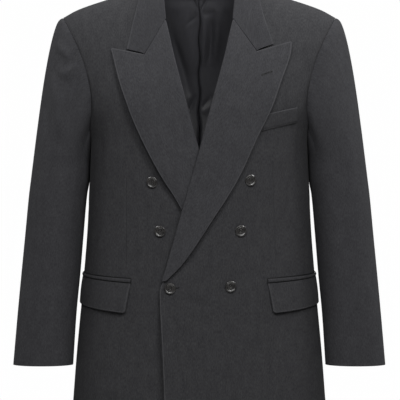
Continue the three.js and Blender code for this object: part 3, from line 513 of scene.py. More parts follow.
def side_shape(u, v):
    gap = SEAM / 2 / (235.5 * math.pi / 180)
    angle = mix(FRONT_SEAM_ANGLE + gap, BACK_SEAM_ANGLE - gap, u)
    step = v * 11
    height = panel_height(step, 0 * step, armhole_foot(angle))
    lift = folds(angle * 3.2, height, [(d, w, *[(x * 3.2, z) for x, z in path]) for d, w, *path in SIDE_FOLDS])
    lift *= soft(u * 6) * soft((1 - u) * 6) * soft((1 - v) * 10)
    return hem_drop(ring_point(angle, height, lift), step)


side_rows = np.linspace(0, 1, 124)
side_columns = np.linspace(0, 1, 31)
cloth("left_side", side_columns, side_rows, side_shape, 1.8, 0.7, body_wool, ["side_left"],
      inner=lining_satin)
cloth("right_side", side_columns, side_rows, mirror(side_shape), 1.8, 0.7, body_wool, ["side_right"],
      inner=lining_satin)


# Back
# Two panels joined down the middle of the back, of the same wool, eased over the shoulder blades. The
# photograph doesn't show it: it is plain, with soft hanging folds from the blades and at the waist.
def back_side(height):
    return np.where(height <= ARMHOLE_BACK_FOOT, 0.88 * ring_half(height), armhole_back(height))


def back_neck(out):
    """The back neck seam rises a little from the middle to the neck points."""
    return mix(-3, 0, (np.abs(out) / NECK_POINT) ** 3)


BACK_FOLDS_LEFT = [
    (-2.4, 22, (150, -150), (138, -230), (128, -330)),
    (-1.8, 16, (95, -140), (88, -230), (84, -300)),
    (-2.2, 14, (20, -400), (70, -412), (130, -404), (170, -390)),
    (-1.8, 12, (60, -452), (110, -448), (165, -432)),
    (2.0, 26, (60, -520), (66, -620), (62, -740)),
    (-2.0, 20, (120, -520), (124, -640), (118, -760)),
    (-1.2, 8, (20, -62), (60, -58), (95, -48)),
]
BACK_FOLDS_RIGHT = [
    (-2.2, 20, (146, -160), (140, -250), (124, -340)),
    (-1.6, 15, (88, -150), (90, -220), (80, -290)),
    (-2.0, 13, (25, -418), (80, -424), (140, -410), (172, -394)),
    (-1.6, 11, (50, -470), (100, -462), (150, -446)),
    (1.9, 24, (70, -540), (72, -640), (76, -750)),
    (-2.1, 22, (130, -510), (128, -620), (132, -750)),
    (-1.1, 8, (18, -66), (55, -60), (90, -52)),
]


def back_shape(lines):
    def shape(u, v):
        step = np.interp(v * (len(PANEL_STEPS) - 1), np.arange(len(PANEL_STEPS)), PANEL_STEPS)
        outer = meets(step, back_side, 200.0, ARMHOLE_BACK_FOOT) - SEAM / 2
        out = mix(SEAM / 2, outer, 1 - u)
        neck = np.where(out < NECK_POINT, back_neck(out) - ridge(out), 0) * soft((step - 12) / 9)
        height = panel_height(step, out, ARMHOLE_BACK_FOOT) + neck
        lift = folds(out, height, lines) * soft(out / 14) * soft((outer - out) / 14) * soft((21 - step) / 2)
        lift += rolled_in(out, outer, height, ARMHOLE_BACK_FOOT, step)
        return hem_drop(seamed(1, body_off(1, out, height, lift), step), step)

    return shape


back_columns = np.concatenate([[0, 0.006, 0.012], np.linspace(0.02, 1, 50)])
cloth("left_back", back_columns, panel_rows, back_shape(BACK_FOLDS_LEFT), 1.8, 0.7, body_wool, ["back_left"],
      inner=lining_satin)
cloth("right_back", back_columns, panel_rows, mirror(back_shape(BACK_FOLDS_RIGHT)), 1.8, 0.7, body_wool,
      ["back_right"], inner=lining_satin)


# Lapels
# Wide peak lapels, each the front's facing turned over along the roll line from the lowest button up to
# the collar, pressed soft and not flat. The wearer's left one has a worked buttonhole near its peak.
LAPEL_EDGE = [
    (-540, -59.6, -59.6), (-509, -29.9, -29.9), (-464, 1.2, -1), (-413, 33, 29.9), (-392, 46.5, 41.3),
    (-353, 68.6, 65), (-287, 98.6, 98), (-226, 128.6, 123.5), (-182, 144.6, 140.2), (-135, 161.9, 154),
    (-122, 164.6, 157.5), (-109, 165.6, 158),
]
LAPEL_TOP = {
    "over": {"notch": (102.3, -129.2), "peak": (165.6, -109.3), "off": 4.1, "edge_off": 5.4},
    "under": {"notch": (97.4, -135), "peak": (157.5, -122), "off": 2.6, "edge_off": 4.4},
}
LAPEL_LIFT = {
    "over": reader([(-545, 0), (-520, 3), (-480, 7), (-430, 7), (-380, 4), (-320, 2), (-200, 2), (-100, 1)]),
    "under": reader([(-420, 0), (-385, 4), (-340, 9), (-260, 10), (-200, 8), (-150, 4), (-110, 1)]),
}
ROLL = 2.1
ROLL_SHARE = 0.12
LAPEL_FOLDS = {
    "over": [(-0.9, 7, (128, -140), (136, -128), (150, -118)), (0.8, 10, (60, -180), (40, -250), (20, -320))],
    "under": [(-1.0, 7, (43, -190), (34, -250), (25, -305)), (0.7, 9, (90, -200), (70, -260), (50, -320))],
}
# a paler copy of the body wool, used for the lapels
lapel_wool = worsted("paler_worsted_facing", "#363639", "#4b4b4e")


def lapel_shape(side):
    top, over = LAPEL_TOP[side], side == "over"
    edge = reader([(row[0], row[1 if over else 2]) for row in LAPEL_EDGE])
    notch, peak = np.array(top["notch"]), np.array(top["peak"])
    gorge = np.array([float(front_edge(GORGE)), GORGE])

    def shape(u, v):
        share = np.clip((u - ROLL_SHARE) / (1 - ROLL_SHARE), 0, 1)
        from_rim = (1 - share) * 90
        tip = 3.2 - np.sqrt(np.clip(3.2**2 - np.clip(3.2 - from_rim, 0, None) ** 2, 0, None))
        climb = v * (1 - tip / 480)
        roll_height = mix(BREAK + 3, GORGE, climb)
        roll = np.stack([front_edge(roll_height), roll_height], axis=-1)
        edge_height = mix(BREAK + 3, peak[1], climb)
        rim = np.stack([edge(edge_height), edge_height], axis=-1)
        rim = np.where((climb == 1)[..., None], peak, rim)
        to_rim = (rim - roll) / np.linalg.norm(rim - roll, axis=-1, keepdims=True)
        s = share[..., None]
        part = 3 / 7
        line = np.where(s < part, mix(gorge, notch, s / part), mix(notch, peak, (s - part) / (1 - part)))
        flat = mix(roll, rim, s) + (climb[..., None] ** 2) * (line - mix(gorge, peak, s))
        turn = np.radians(mix(-85, 90, np.clip(u / ROLL_SHARE, 0, 1)))
        flat = np.where((u < ROLL_SHARE)[..., None], roll - ROLL * np.cos(turn)[..., None] * to_rim, flat)
        face = mix(top["off"], top["edge_off"], share * soft(climb * 4 - 1.2))
        face += 1.8 * np.sin(np.pi * share**0.8) * soft(climb * 5) * (1 - 0.5 * climb)
        face += LAPEL_LIFT[side](flat[..., 1]) * soft(share * 1.15 - 0.15)
        face += folds(flat[..., 0], flat[..., 1], LAPEL_FOLDS[side]) * soft(share * 6) * soft((1 - share) * 6)
        rise = np.where(u < ROLL_SHARE, top["off"] - ROLL + ROLL * np.sin(turn), face)
        return front_off(over, flat[..., 0], flat[..., 1], rise)

    return shape


def lapel_edge_painted_light(u, v):
    """The painted highlight along the outer edge, and the top edge from the notch to the peak, but not the gorge seam.
    """
    return np.maximum(soft((u - 0.975) / 0.015), soft((v - 0.993) / 0.004) * soft((u - 0.5) / 0.03)) * soft(v * 8) * 0.17


lapel_columns = np.concatenate([
    np.linspace(0, ROLL_SHARE, 9), np.linspace(ROLL_SHARE, 0.96, 41)[1:], np.linspace(0.96, 1, 8)[1:],
])
lapel_rows = np.concatenate([np.linspace(0, 0.985, 148), np.linspace(0.985, 1, 8)[1:]])
cloth("left_lapel", lapel_columns, lapel_rows, lapel_shape("over"), 1.6, 0.75, lapel_wool, ["lapel_left"],
      painted_highlight=lapel_edge_painted_light)
cloth("right_lapel", 1 - lapel_columns[::-1], lapel_rows, mirror(lapel_shape("under")), 1.6, 0.75, lapel_wool,
      ["lapel_right"],
      painted_highlight=lambda u, v: lapel_edge_painted_light(1 - u, v))


# Collar
# One strip of the same wool over felt, sewn into the neck seam, standing up inside and falling over
# outside along a soft crease. Its front ends meet the lapels along the gorge and end at the notches.
CREST = [(66.5, -46, -24), (71, -20, 4), (74, 6, 20), (67, 31, 27), (47, 51, 31), (24, 59, 33), (0, 61, 33.5)]
COLLAR_CORNER = {"over": (132.9, -117), "under": (129.9, -126.4)}
COLLAR_OFF = 4.4
NOTCH_GAP = 1.7


def curve_through(points):
    """A smooth curve through points, read by share of its spans, with no loops where they lie close."""
    p = np.array(points, float)
    p = np.concatenate([[2 * p[0] - p[1]], p, [2 * p[-1] - p[-2]]])
    spans = len(p) - 3

    def read(t):
        at = np.clip(np.asarray(t, float), 0, 1) * spans
        i = np.minimum(at.astype(int), spans - 1)
        w = (at - i)[..., None]
        a, b, c, d = p[i], p[i + 1], p[i + 2], p[i + 3]
        k = [np.sqrt(np.linalg.norm(n - m, axis=-1, keepdims=True)) for m, n in ((a, b), (b, c), (c, d))]
        t1 = ((b - a) / k[0] - (c - a) / (k[0] + k[1]) + (c - b) / k[1]) * k[1]
        t2 = ((c - b) / k[1] - (d - b) / (k[1] + k[2]) + (d - c) / k[2]) * k[1]
        return b + t1 * w + (3 * (c - b) - 2 * t1 - t2) * w**2 + (2 * (b - c) + t1 + t2) * w**3

    return read


def collar_half(side):
    """Crest, outer edge and neck seam from the gorge round to the middle of the back, and the end line."""
    top, over = LAPEL_TOP[side], side == "over"
    corner = COLLAR_CORNER[side]
    start = front_off(over, float(front_edge(GORGE)) - 0.6, GORGE + 1.8, top["off"])
    edge = [
        front_off(over, corner[0], corner[1] + 0.6, top["edge_off"]),
        body_off(-1, 118.6, -67.7, COLLAR_OFF),
        body_off(-1, 110.5, -29, COLLAR_OFF),
        body_off(1, 109, float(ridge(109)), COLLAR_OFF),
        *[body_off(1, out, height, COLLAR_OFF) for out, height in
          ((98, -11), (76, -14), (50, -15), (24, -15.5), (0, -16))],
    ]
    seam = [
        front_off(over, float(front_edge(GORGE)) + 1, GORGE + 2, 1.2),
        *[body_off(-1, float(front_edge(height)), height, 1.6) for height in (-45, -20)],
        np.array([NECK_POINT, 12 - 10 * NECK_POINT / 252, 0.6]),
        *[body_off(1, out, float(back_neck(out)), -1.9) + (0, 0, -2.2) for out in (78, 58, 30, 0)],
    ]
    notch = front_off(over, top["notch"][0] + 0.6, top["notch"][1] + 1.3, top["off"])
    return curve_through([start, *CREST]), curve_through(edge), curve_through(seam), notch


def collar_points(side, u, round_neck):
    """u runs from the outer edge (0) up the fall to the crest, over it and down the stand (1)."""
    crest, edge, seam, notch = collar_half(side)
    over_crest, stand_from = 0.62, 0.74
    top, rim = crest(round_neck), edge(round_neck)
    along = crest(round_neck + 1e-3) - crest(round_neck - 1e-3)
    lean = rim - top
    outward = np.cross(lean, along)
    outward *= np.where(outward[..., 2:] < 0, -1, 1) / np.linalg.norm(outward, axis=-1, keepdims=True)
    share = np.clip(1 - u / over_crest, 0, 1)[..., None]
    bulge = 3.5 * 4 * share * (1 - share) * soft(0.3 + round_neck * 2)[..., None]
    fall = top + lean * share + outward * bulge
    start, corner = crest(0.0), edge(0.0)
    line = np.where(
        share < 0.6, mix(start, notch, share / 0.6), mix(notch, corner, (share - 0.6) / 0.4)
    )
    line = line + np.array([0, 0, NOTCH_GAP]) * soft((share - 0.6) / 0.06)
    fall += (line - mix(start, corner, share)) * ((1 - round_neck) ** 6)[..., None]
    up = -lean / np.linalg.norm(lean, axis=-1, keepdims=True)
    turn = (np.clip((u - over_crest) / (stand_from - over_crest), 0, 1) * np.pi)[..., None]
    over = top - ROLL * outward + ROLL * (outward * np.cos(turn) + up * np.sin(turn))
    down = np.clip((u - stand_from) / (1 - stand_from), 0, 1)[..., None]
    foot = seam(mix(0.06, 1, round_neck))
    first = top - 2 * ROLL * outward
    reach = foot - first
    length = np.linalg.norm(reach, axis=-1, keepdims=True)
    s = 1 - down
    stand = (
        first * s * s * (1 + 2 * down) + foot * down * down * (3 - 2 * down)
        - up * length * s * s * down - reach * s * down * down
    )
    part = u[..., None]
    return np.where(part < over_crest, fall, np.where(part < stand_from, over, stand))


def collar_shape(u, v):
    right = collar_points("under", u, np.clip(2 * v, 0, 1)) * (-1, 1, 1)
    left = collar_points("over", u, np.clip(2 - 2 * v, 0, 1))
    return mix(right, left, soft((v - 0.46) / 0.08)[..., None])


# the painted highlight along the collar's outer edge
def collar_edge_painted_light(u, v):
    return soft((0.03 - u) / 0.015) * 0.1


collar_columns = np.concatenate([np.linspace(0, 0.03, 6), np.linspace(0.03, 0.62, 23)[1:], np.linspace(0.62, 0.74, 9)[1:], np.linspace(0.74, 1, 12)[1:]])
collar_rows = np.linspace(0, 1, 171)
# a darker copy of the body wool: painted shade on the collar
shaded_collar_wool = worsted("collar_worsted_painted_darker", "#323235", "#454548")
cloth("collar", collar_columns, collar_rows, collar_shape, 1.4, 0.65, shaded_collar_wool, ["collar_fall", "collar_stand"],
      painted_highlight=collar_edge_painted_light)


# Sleeves
# Each sleeve is a broad top piece and a narrow under piece of the same wool, joined by two seams down
# its inner side, eased into the armhole with a raised head and left open at a plain turned cuff.
SLEEVE_RINGS = [
    (-695, 340.8, 231, -76, 12), (-600, 333.6, 225.6, -74, 34), (-530, 327.9, 219.4, -71, 50),
    (-457, 321.4, 213.8, -69, 62), (-383, 314.6, 207.3, -68, 68), (-358, 311.6, 202.9, -67.5, 70),
    (-330, 308.2, 201.5, -67, 71),
]
sleeve_outer, sleeve_inner, sleeve_front, sleeve_back = (
    reader([(row[0], row[i]) for row in SLEEVE_RINGS]) for i in (1, 2, 3, 4)
)
CUFF, SLEEVE_TOP = -695, -330


def sleeve_ring(angle, height):
    """A level ring of the sleeve by angle: 0 is outside, 90 front, 180 inside and 270 back."""
    turn = np.radians(angle)
    out = (sleeve_outer(height) + sleeve_inner(height)) / 2
    out = out + (sleeve_outer(height) - sleeve_inner(height)) / 2 * np.cos(turn)
    deep = (sleeve_back(height) - sleeve_front(height)) / 2
    back = (sleeve_front(height) + sleeve_back(height)) / 2 - deep * np.sin(turn)
    return np.stack(np.broadcast_arrays(out, back, height), axis=-1).astype(float)


def unit(vectors):
    return vectors / np.linalg.norm(vectors, axis=-1, keepdims=True)


def armhole_loop():
    """The armhole as one loop from the shoulder point, down the front, under the arm and up the back."""
    down = np.linspace(-57, ARMHOLE_FRONT_FOOT, 97)
    front = body_point(-1, armhole_front(down), down)
    turns = np.linspace(FRONT_SEAM_ANGLE, BACK_SEAM_ANGLE, 97)[1:-1]
    under = ring_point(turns, armhole_foot(turns))
    rising = np.linspace(ARMHOLE_BACK_FOOT, -57, 97)
    points = np.concatenate([front, under, body_point(1, armhole_back(rising), rising)])
    outer = np.concatenate([
        body_off(-1, armhole_front(down), down, 1.0), ring_point(turns, armhole_foot(turns), 1.0),
        body_off(1, armhole_back(rising), rising, 1.0),
    ])
    length = np.concatenate([[0], np.cumsum(np.linalg.norm(np.diff(points, axis=0), axis=1))])
    front_most = np.argmin(np.abs(points[:, 2] + 205) + 1000 * (points[:, 1] > 0))
    back_most = np.argmin(np.abs(points[:, 2] + 190) + 1000 * (points[:, 1] < 0))
    anchors = length[[0, front_most, np.argmin(points[:, 2]), back_most, -1]]

    def read(angle):
        want = np.interp(np.mod(angle, 360), [0, 90, 180, 270, 360], anchors)
        both = [np.stack([np.interp(want, length, loop[:, i]) for i in range(3)], axis=-1) for loop in (points, outer)]
        return both[0], unit(both[1] - both[0])

    return read


armhole_at = armhole_loop()


def sleeve_head(angle, share, tucked):
    """The sleeve head: it leaves the armhole outward, over a raised rope, and ends hanging. Its seam
    allowance, from tucked 0 to 1, turns in under the edge of the front and back."""
    turn = np.radians(angle)
    leave = unit(np.stack([
        0.9 * np.abs(np.cos(turn / 2)), -0.42 * np.sin(turn), -0.47 - 0.265 * (1 - np.cos(turn)),
    ], axis=-1))
    armhole, outward = armhole_at(angle)
    start = armhole + leave * (0.35 - 0.1 * np.clip(np.cos(turn / 2), 0, None) ** 12)[..., None]
    start -= outward * 1.3 * (1 - np.clip(np.cos(turn / 2), 0, None) ** 12)[..., None]
    start[..., 0] += 0.3 * np.sin(turn / 2) ** 4
    end = sleeve_ring(angle, 0 * angle + SLEEVE_TOP)
    hang = unit(sleeve_ring(angle, 0 * angle + SLEEVE_TOP - 1) - end)
    span = np.linalg.norm(end - start, axis=-1, keepdims=True)
    rope = np.clip(np.cos(turn / 2), 0, None) ** 4 * 5 * np.exp(-share / 0.2) * (1 - np.exp(-share / 0.05))
    start = start + np.stack([rope, 0 * rope, rope * 0.1], axis=-1)
    share = share[..., None]
    s = 1 - share
    deep = (0.85 + 0.15 * soft((135 - np.abs(angle)) / 30))[..., None] * np.ones_like(share)
    tuck = outward * 2.8 * soft(tucked * 1.8)[..., None] + leave * 4.5 * soft(tucked * 1.6 - 0.5)[..., None]
    return (
        start * s * s * (1 + 2 * share) + leave * s * s * share * np.minimum(90, span)
        + end * share * share * (3 - 2 * share) - hang * s * share * share * span - tuck * deep
    )


SLEEVE_FOLDS = {
    "left": [
        (-1.1, 5, (226, -118), (233, -104), (240, -92)),
        (-1.0, 14, (262, -180), (258, -240), (252, -300)),
        (-1.2, 12, (240, -430), (262, -448), (290, -452)),
        (0.9, 16, (236, -350), (240, -480), (246, -620)),
    ],
    "right": [
        (-4.0, 8, (262, -104), (248, -122), (232, -140)),
        (-6.5, 8, (256, -166), (240, -164), (216, -152)),
        (-4.0, 12, (264, -165), (257, -230), (246, -292)),
        (1.2, 10, (282, -180), (278, -250), (270, -310)),
        (-1.0, 12, (242, -470), (264, -482), (292, -480)),
    ],
}
BACK_SLEEVE_FOLDS = [
    (-2.6, 11, (234, -395), (262, -408), (296, -400)),
    (-2.4, 10, (240, -450), (268, -462), (300, -452)),
    (-1.8, 10, (246, -505), (270, -512), (300, -506)),
    (-2.0, 12, (240, -190), (256, -240), (262, -310)),
]


def sleeve_shape(from_angle, to_angle, side):
    seam_turn = np.degrees(SEAM / 2 / 44)

    def shape(u, v):
        angle = mix(from_angle - seam_turn, to_angle + seam_turn, u)
        low = sleeve_ring(angle, mix(CUFF, SLEEVE_TOP, np.clip(v / ARM_SHARE, 0, 1)))
        climb = np.clip((v - ARM_SHARE) / (SEAM_SHARE - ARM_SHARE), 0, 1)
        head = sleeve_head(angle, (1 - climb) ** 1.6, np.clip((v - SEAM_SHARE) / (1 - SEAM_SHARE), 0, 1))
        points = np.where((v <= ARM_SHARE)[..., None], low, head)
        up = unit(np.gradient(points, axis=0))
        across = unit(np.gradient(points, axis=1))
        normal = unit(np.cross(across, up))
        x, y, z = points[..., 0], points[..., 1], points[..., 2]
        lift = folds(x, z, SLEEVE_FOLDS[side]) * soft(0.5 - (y + 10) / 30)
        lift += folds(x, z, BACK_SLEEVE_FOLDS) * soft(0.5 + (y - 30) / 30)
        lift *= soft(u * 8) * soft((1 - u) * 8) * soft((SEAM_SHARE - v) * 14) * soft(v * 12)
        return points + normal * lift[..., None]

    return shape


ARM_SHARE, SEAM_SHARE = 0.6, 0.97
# a slightly paler copy of the body wool: painted light on the sleeves
lit_sleeve_wool = worsted("sleeve_worsted_painted_paler", "#333336", "#48484b")
sleeve_rows = np.concatenate([
    np.linspace(0, ARM_SHARE, 86), np.linspace(ARM_SHARE, SEAM_SHARE, 71)[1:], np.linspace(SEAM_SHARE, 1, 7)[1:],
])
for side in ("left", "right"):
    turned = mirror if side == "right" else (lambda shape: shape)
    cloth(f"{side}_top_sleeve", np.linspace(0, 1, 62), sleeve_rows, turned(sleeve_shape(158, -94, side)), 1.6,
          0.7, lit_sleeve_wool, [f"top_sleeve_{side}", f"top_sleeve_head_{side}"], inner=lining_satin)
    cloth(f"{side}_under_sleeve", np.linspace(0, 1, 28), sleeve_rows, turned(sleeve_shape(266, 158, side)), 1.6,
          0.7, lit_sleeve_wool, [f"under_sleeve_{side}", f"under_sleeve_head_{side}"], inner=lining_satin)


# Side pockets
# A narrow jet of folded wool edges each pocket mouth, and a flap of the same wool hangs from inside it,
# slanting up towards the side, with a rounded front corner and slightly lifted from the cloth.
POCKET = {"frontTop": (122, -534.6), "frontFlap": (122, -542.8), "frontFoot": (130.5, -595.5)}
POCKET_SIDE = {"top": -525.2, "flap": -531.4, "foot": -579.4}


def pocket_shape(upper, lower, side_upper, side_lower, off_upper, off_front, off_side, swell, corner):
    """A strip that follows the body from its front end round to the side, between two slanting lines."""

    def shape(u, v):
        from_front = u * 95
        away = np.clip(corner - from_front, 0, None)
        foot_share = (corner - np.sqrt(np.clip(corner**2 - away**2, 0, None))) / 52
        rise = foot_share + v * (1 - foot_share)
        out = mix(lower[0], upper[0], rise)
        front_height = mix(lower[1], upper[1], rise)
        angle = mix(angle_of(out / ring_half(front_height)), 93, u)
        height = mix(front_height, mix(side_lower, side_upper, rise), u)
        foot_off = mix(off_front, off_side, soft(u * 1.5))
        return ring_point(angle, height, mix(foot_off, off_upper, rise**0.8) + swell * 4 * rise * (1 - rise))

    return shape


flap_shape = pocket_shape(
    POCKET["frontFlap"], POCKET["frontFoot"], POCKET_SIDE["flap"], POCKET_SIDE["foot"], 1.9, 7.0, 3.4, 1.0, 3.6
)
jet_shape = pocket_shape(
    POCKET["frontTop"], (122, POCKET["frontFlap"][1] + 1.2), POCKET_SIDE["top"], POCKET_SIDE["flap"] + 1.2,
    1.5, 2.4, 2.4, 1.2, 0.01,
)
# painted shadow: a near-black satin strip laid just proud of the cloth behind each jet and flap, standing in for the
# shade inside the pocket mouth
mouth_shadow_shape = pocket_shape(
    (121.2, POCKET["frontTop"][1] + 1.3), (121.2, POCKET["frontFlap"][1] - 2), POCKET_SIDE["top"] + 1.3,
    POCKET_SIDE["flap"] - 2, 0.35, 0.35, 0.35, 0, 0.01,
)
mouth_shadow_satin = satin("painted_shadow_satin", "#0c0c0d", "#121213")
for side in ("left", "right"):
    turned = mirror if side == "right" else (lambda shape: shape)
    # each flap gets a painted highlight along its front end and its lower edge
    cloth(f"{side}_flap", np.linspace(0, 1, 80), np.linspace(0, 1, 40), turned(flap_shape), 1.6, 0.7,
          body_wool, [f"pocket_flap_{side}"],
          inner=lining_satin,
          painted_highlight=lambda u, v: np.maximum(soft((0.025 - np.abs(u - (side == "right"))) / 0.012), soft((0.05 - v) / 0.02)) * 0.09)
    cloth(f"{side}_jet", np.linspace(0, 1, 50), np.linspace(0, 1, 9), turned(jet_shape), 1.2, 0.55,
          body_wool, [f"pocket_jet_{side}"])
    cloth(f"{side}_pocket_mouth_shadow", np.linspace(0, 1, 50), np.linspace(0, 1, 4), turned(mouth_shadow_shape), 0.3, 0.1,
          mouth_shadow_satin, [])


# Chest welt
# A folded strip of the same wool sewn over the breast pocket's mouth, on the wearer's left front only,
# slanting up towards the arm, its lower edge seamed in and its ends stitched down.
def welt_shape(u, v):
    out = mix(92, 175, u)
    height = mix(mix(-276.4, -255, u), mix(-247.6, -227.2, u), v)
    return front_off(True, out, height, 1.4 + 1.1 * soft(v * 5) + 0.5 * np.sin(np.pi * v))


# the welt's top edge gets a painted highlight
cloth("breast_welt", np.linspace(0, 1, 60), np.linspace(0, 1, 30), welt_shape, 1.4, 0.6, body_wool, ["chest_welt"],
      painted_highlight=lambda u, v: soft((v - 0.93) / 0.05) * 0.22)


# Back lining
# Dark satin inside the back, in two halves that meet in an ease pleat down the middle: the wearer's left
# half laps over the right one. It is pinched under the collar, and loose folds spread from there.
LINING_FOLDS = [
    (5.5, 15, (-26, -30), (-19, -84), (-10, -150)),
    (-6.0, 8, (-66, -38), (-48, -95), (-30, -146), (-18, -196)),
    (6.5, 6.5, (11, -34), (10, -80), (8, -136)),
    (-4.5, 5, (25, -48), (24, -85), (20, -130)),
    (5.5, 9, (39, -26), (36, -78), (28, -134)),
    (-4.0, 2.6, (-1, -36), (-7, -24), (-16, -6)),
    (-4.0, 2.6, (1, -36), (8, -25), (18, -8)),
    (3.5, 6, (-96, -6), (-40, -7), (40, -7), (96, -6)),
    (-1.6, 3.0, (-1, -37), (-12, -46), (-30, -58)),
    (-1.6, 3.0, (1, -37), (14, -38), (34, -32)),
    (-1.6, 4, (4, -219), (12, -208), (26, -192)),
    (0.9, 5, (6, -228), (16, -220), (28, -210)),
    (-3.0, 5, (-6, -190), (-18, -218), (-32, -238)),
    (2.0, 14, (-70, -120), (-60, -260), (-66, -420)),
    (-2.4, 12, (60, -140), (56, -300), (62, -480)),
    (-2.0, 14, (-100, -300), (-92, -460), (-98, -640)),
    (2.2, 14, (104, -300), (96, -460), (100, -660)),
]
LOOSE = 7.5  # mm that the lining stands off the back at most, between the shoulder blades
PLEAT_WIDTH = 2.1


def lining_shape(over):
    def shape(u, v):
        level = mix(-765, -4.5, v)
        limit = mix(165, 96, soft((level + 150) / 130)) / 0.84
        outer = 0.84 * np.minimum(ring_half(level), limit)
        wave = 1.6 * np.sin(level / 11) * soft((level + 330) / 120)
        inner = wave if over else -wave - 5
        out = mix(inner, outer, 1 - u)
        x = out if over else -out
        loose = LOOSE * soft((level + 420) / 120) * soft((outer - out) / 40) * (0.1 + 0.9 * soft((-level - 5) / 26))
        valley = np.exp(-((np.abs(x - wave) / PLEAT_WIDTH) ** 1.5)) * soft((level + 420) / 120)
        lift = folds(x, level, LINING_FOLDS) * soft((outer - out) / 20) + loose
        lift = np.maximum(lift * (1 - valley) - (1.2 if over else 0.2) * valley, -1.6)
        return body_off(1, out, level, -4.6 + 1.6 * soft((level + 22) / 16) - lift)

    return shape


lining_columns = np.concatenate([np.linspace(0, 0.62, 24), np.linspace(0.62, 1, 66)[1:]])
lining_rows = np.linspace(0, 1, 216)
cloth("left_back_lining", lining_columns, lining_rows, lining_shape(True), 1, 0.45, lining_satin,
      ["back_lining_left"])
cloth("right_back_lining", 1 - lining_columns[::-1], lining_rows, mirror(lining_shape(False)), 1, 0.45, lining_satin,
      ["back_lining_right"])


# Buttons
# Six 20 mm four-hole buttons of dark horn-look resin, turned with a raised rim and a groove round the
# dished middle, each sewn on with black thread over a short shank. The lowest right one is fastened.
def horn(name, dark, light):
    """Cast polyester made to look like polished horn: near black, with faint paler streaks and a soft gloss."""
    resin = bpy.data.materials.new(name)
    resin.use_nodes = True
    tree = resin.node_tree
    shader = tree.nodes["Principled BSDF"]
    place = node(tree, "TexCoord", {})
    mm = node(tree, "Mapping", {"Vector": place.outputs["Object"], "Scale": (1000, 1000, 420)})
    streak = node(tree, "TexNoise", {"Vector": mm.outputs[0], "Scale": 0.22, "Detail": 4.0, "Distortion": 1.4})
    band = node(tree, "MapRange", {"Value": streak.outputs["Fac"], "From Min": 0.4, "From Max": 0.72})
    tone = node(tree, "Mix", {0: band.outputs[0], 6: linear(dark), 7: linear(light)}, data_type="RGBA")
    tree.links.new(tone.outputs[2], shader.inputs["Base Color"])
    scratch = node(tree, "TexNoise", {"Vector": mm.outputs[0], "Scale": 2.5, "Detail": 2.0})
    polish = node(tree, "MapRange", {"Value": scratch.outputs["Fac"], "To Min": 0.25, "To Max": 0.34})
    tree.links.new(polish.outputs[0], shader.inputs["Roughness"])
    shader.inputs["IOR"].default_value = 1.56
    shader.inputs["Specular IOR Level"].default_value = 0.8
    return resin


def twisted_thread(name, colour):
    """Twisted polyester sewing thread, dull, with the twist as fine slanting ridges."""
    thread = bpy.data.materials.new(name)
    thread.use_nodes = True
    tree = thread.node_tree
    shader = tree.nodes["Principled BSDF"]
    shader.inputs["Base Color"].default_value = linear(colour)
    shader.inputs["Roughness"].default_value = 0.7
    place = node(tree, "TexCoord", {})
    mm = node(tree, "Mapping", {"Vector": place.outputs["Object"], "Scale": (1000, 1000, 1000)})
    twist = node(tree, "TexWave", {"Vector": mm.outputs[0], "Scale": 0.8, "Distortion": 1.0}, bands_direction="DIAGONAL")
    relief = node(tree, "Bump", {"Height": twist.outputs["Fac"], "Strength": 0.5, "Distance": 0.0002})
    tree.links.new(relief.outputs[0], shader.inputs["Normal"])
    return thread


BUTTON_RADIUS, BUTTON_THICK, BUTTON_STAND_OFF = 10, 3.6, 0.8
BUTTON_PROFILE = [
    (0, 0), (0.5, 0), (0.76, 0.1), (0.91, 0.28), (0.985, 0.5), (1, 0.66), (0.95, 0.8), (0.9, 0.95), (0.86, 1),
    (0.82, 0.98), (0.75, 0.91), (0.69, 0.84), (0.655, 0.78), (0.64, 0.68), (0.62, 0.67), (0.595, 0.76), (0.57, 0.79),
    (0.45, 0.74), (0.25, 0.67), (0, 0.65),
]
HOLE_RING, HOLE_RADIUS = 2.5, 1.05
BUTTONS = [
    ("button_upper_right", False, 83.3, -362.2), ("button_middle_right", False, 69.5, -449.5),
    ("button_lower_right", True, -51, -550.9), ("button_upper_left", True, 89.5, -358.7),
    ("button_middle_left", True, 72.5, -448.8), ("button_lower_left", True, 54.7, -547.5),
]
black_thread = twisted_thread("black_sewing_thread", "#19191a")
dark_horn = horn("dark_horn_resin", "#2b2a2a", "#474544")


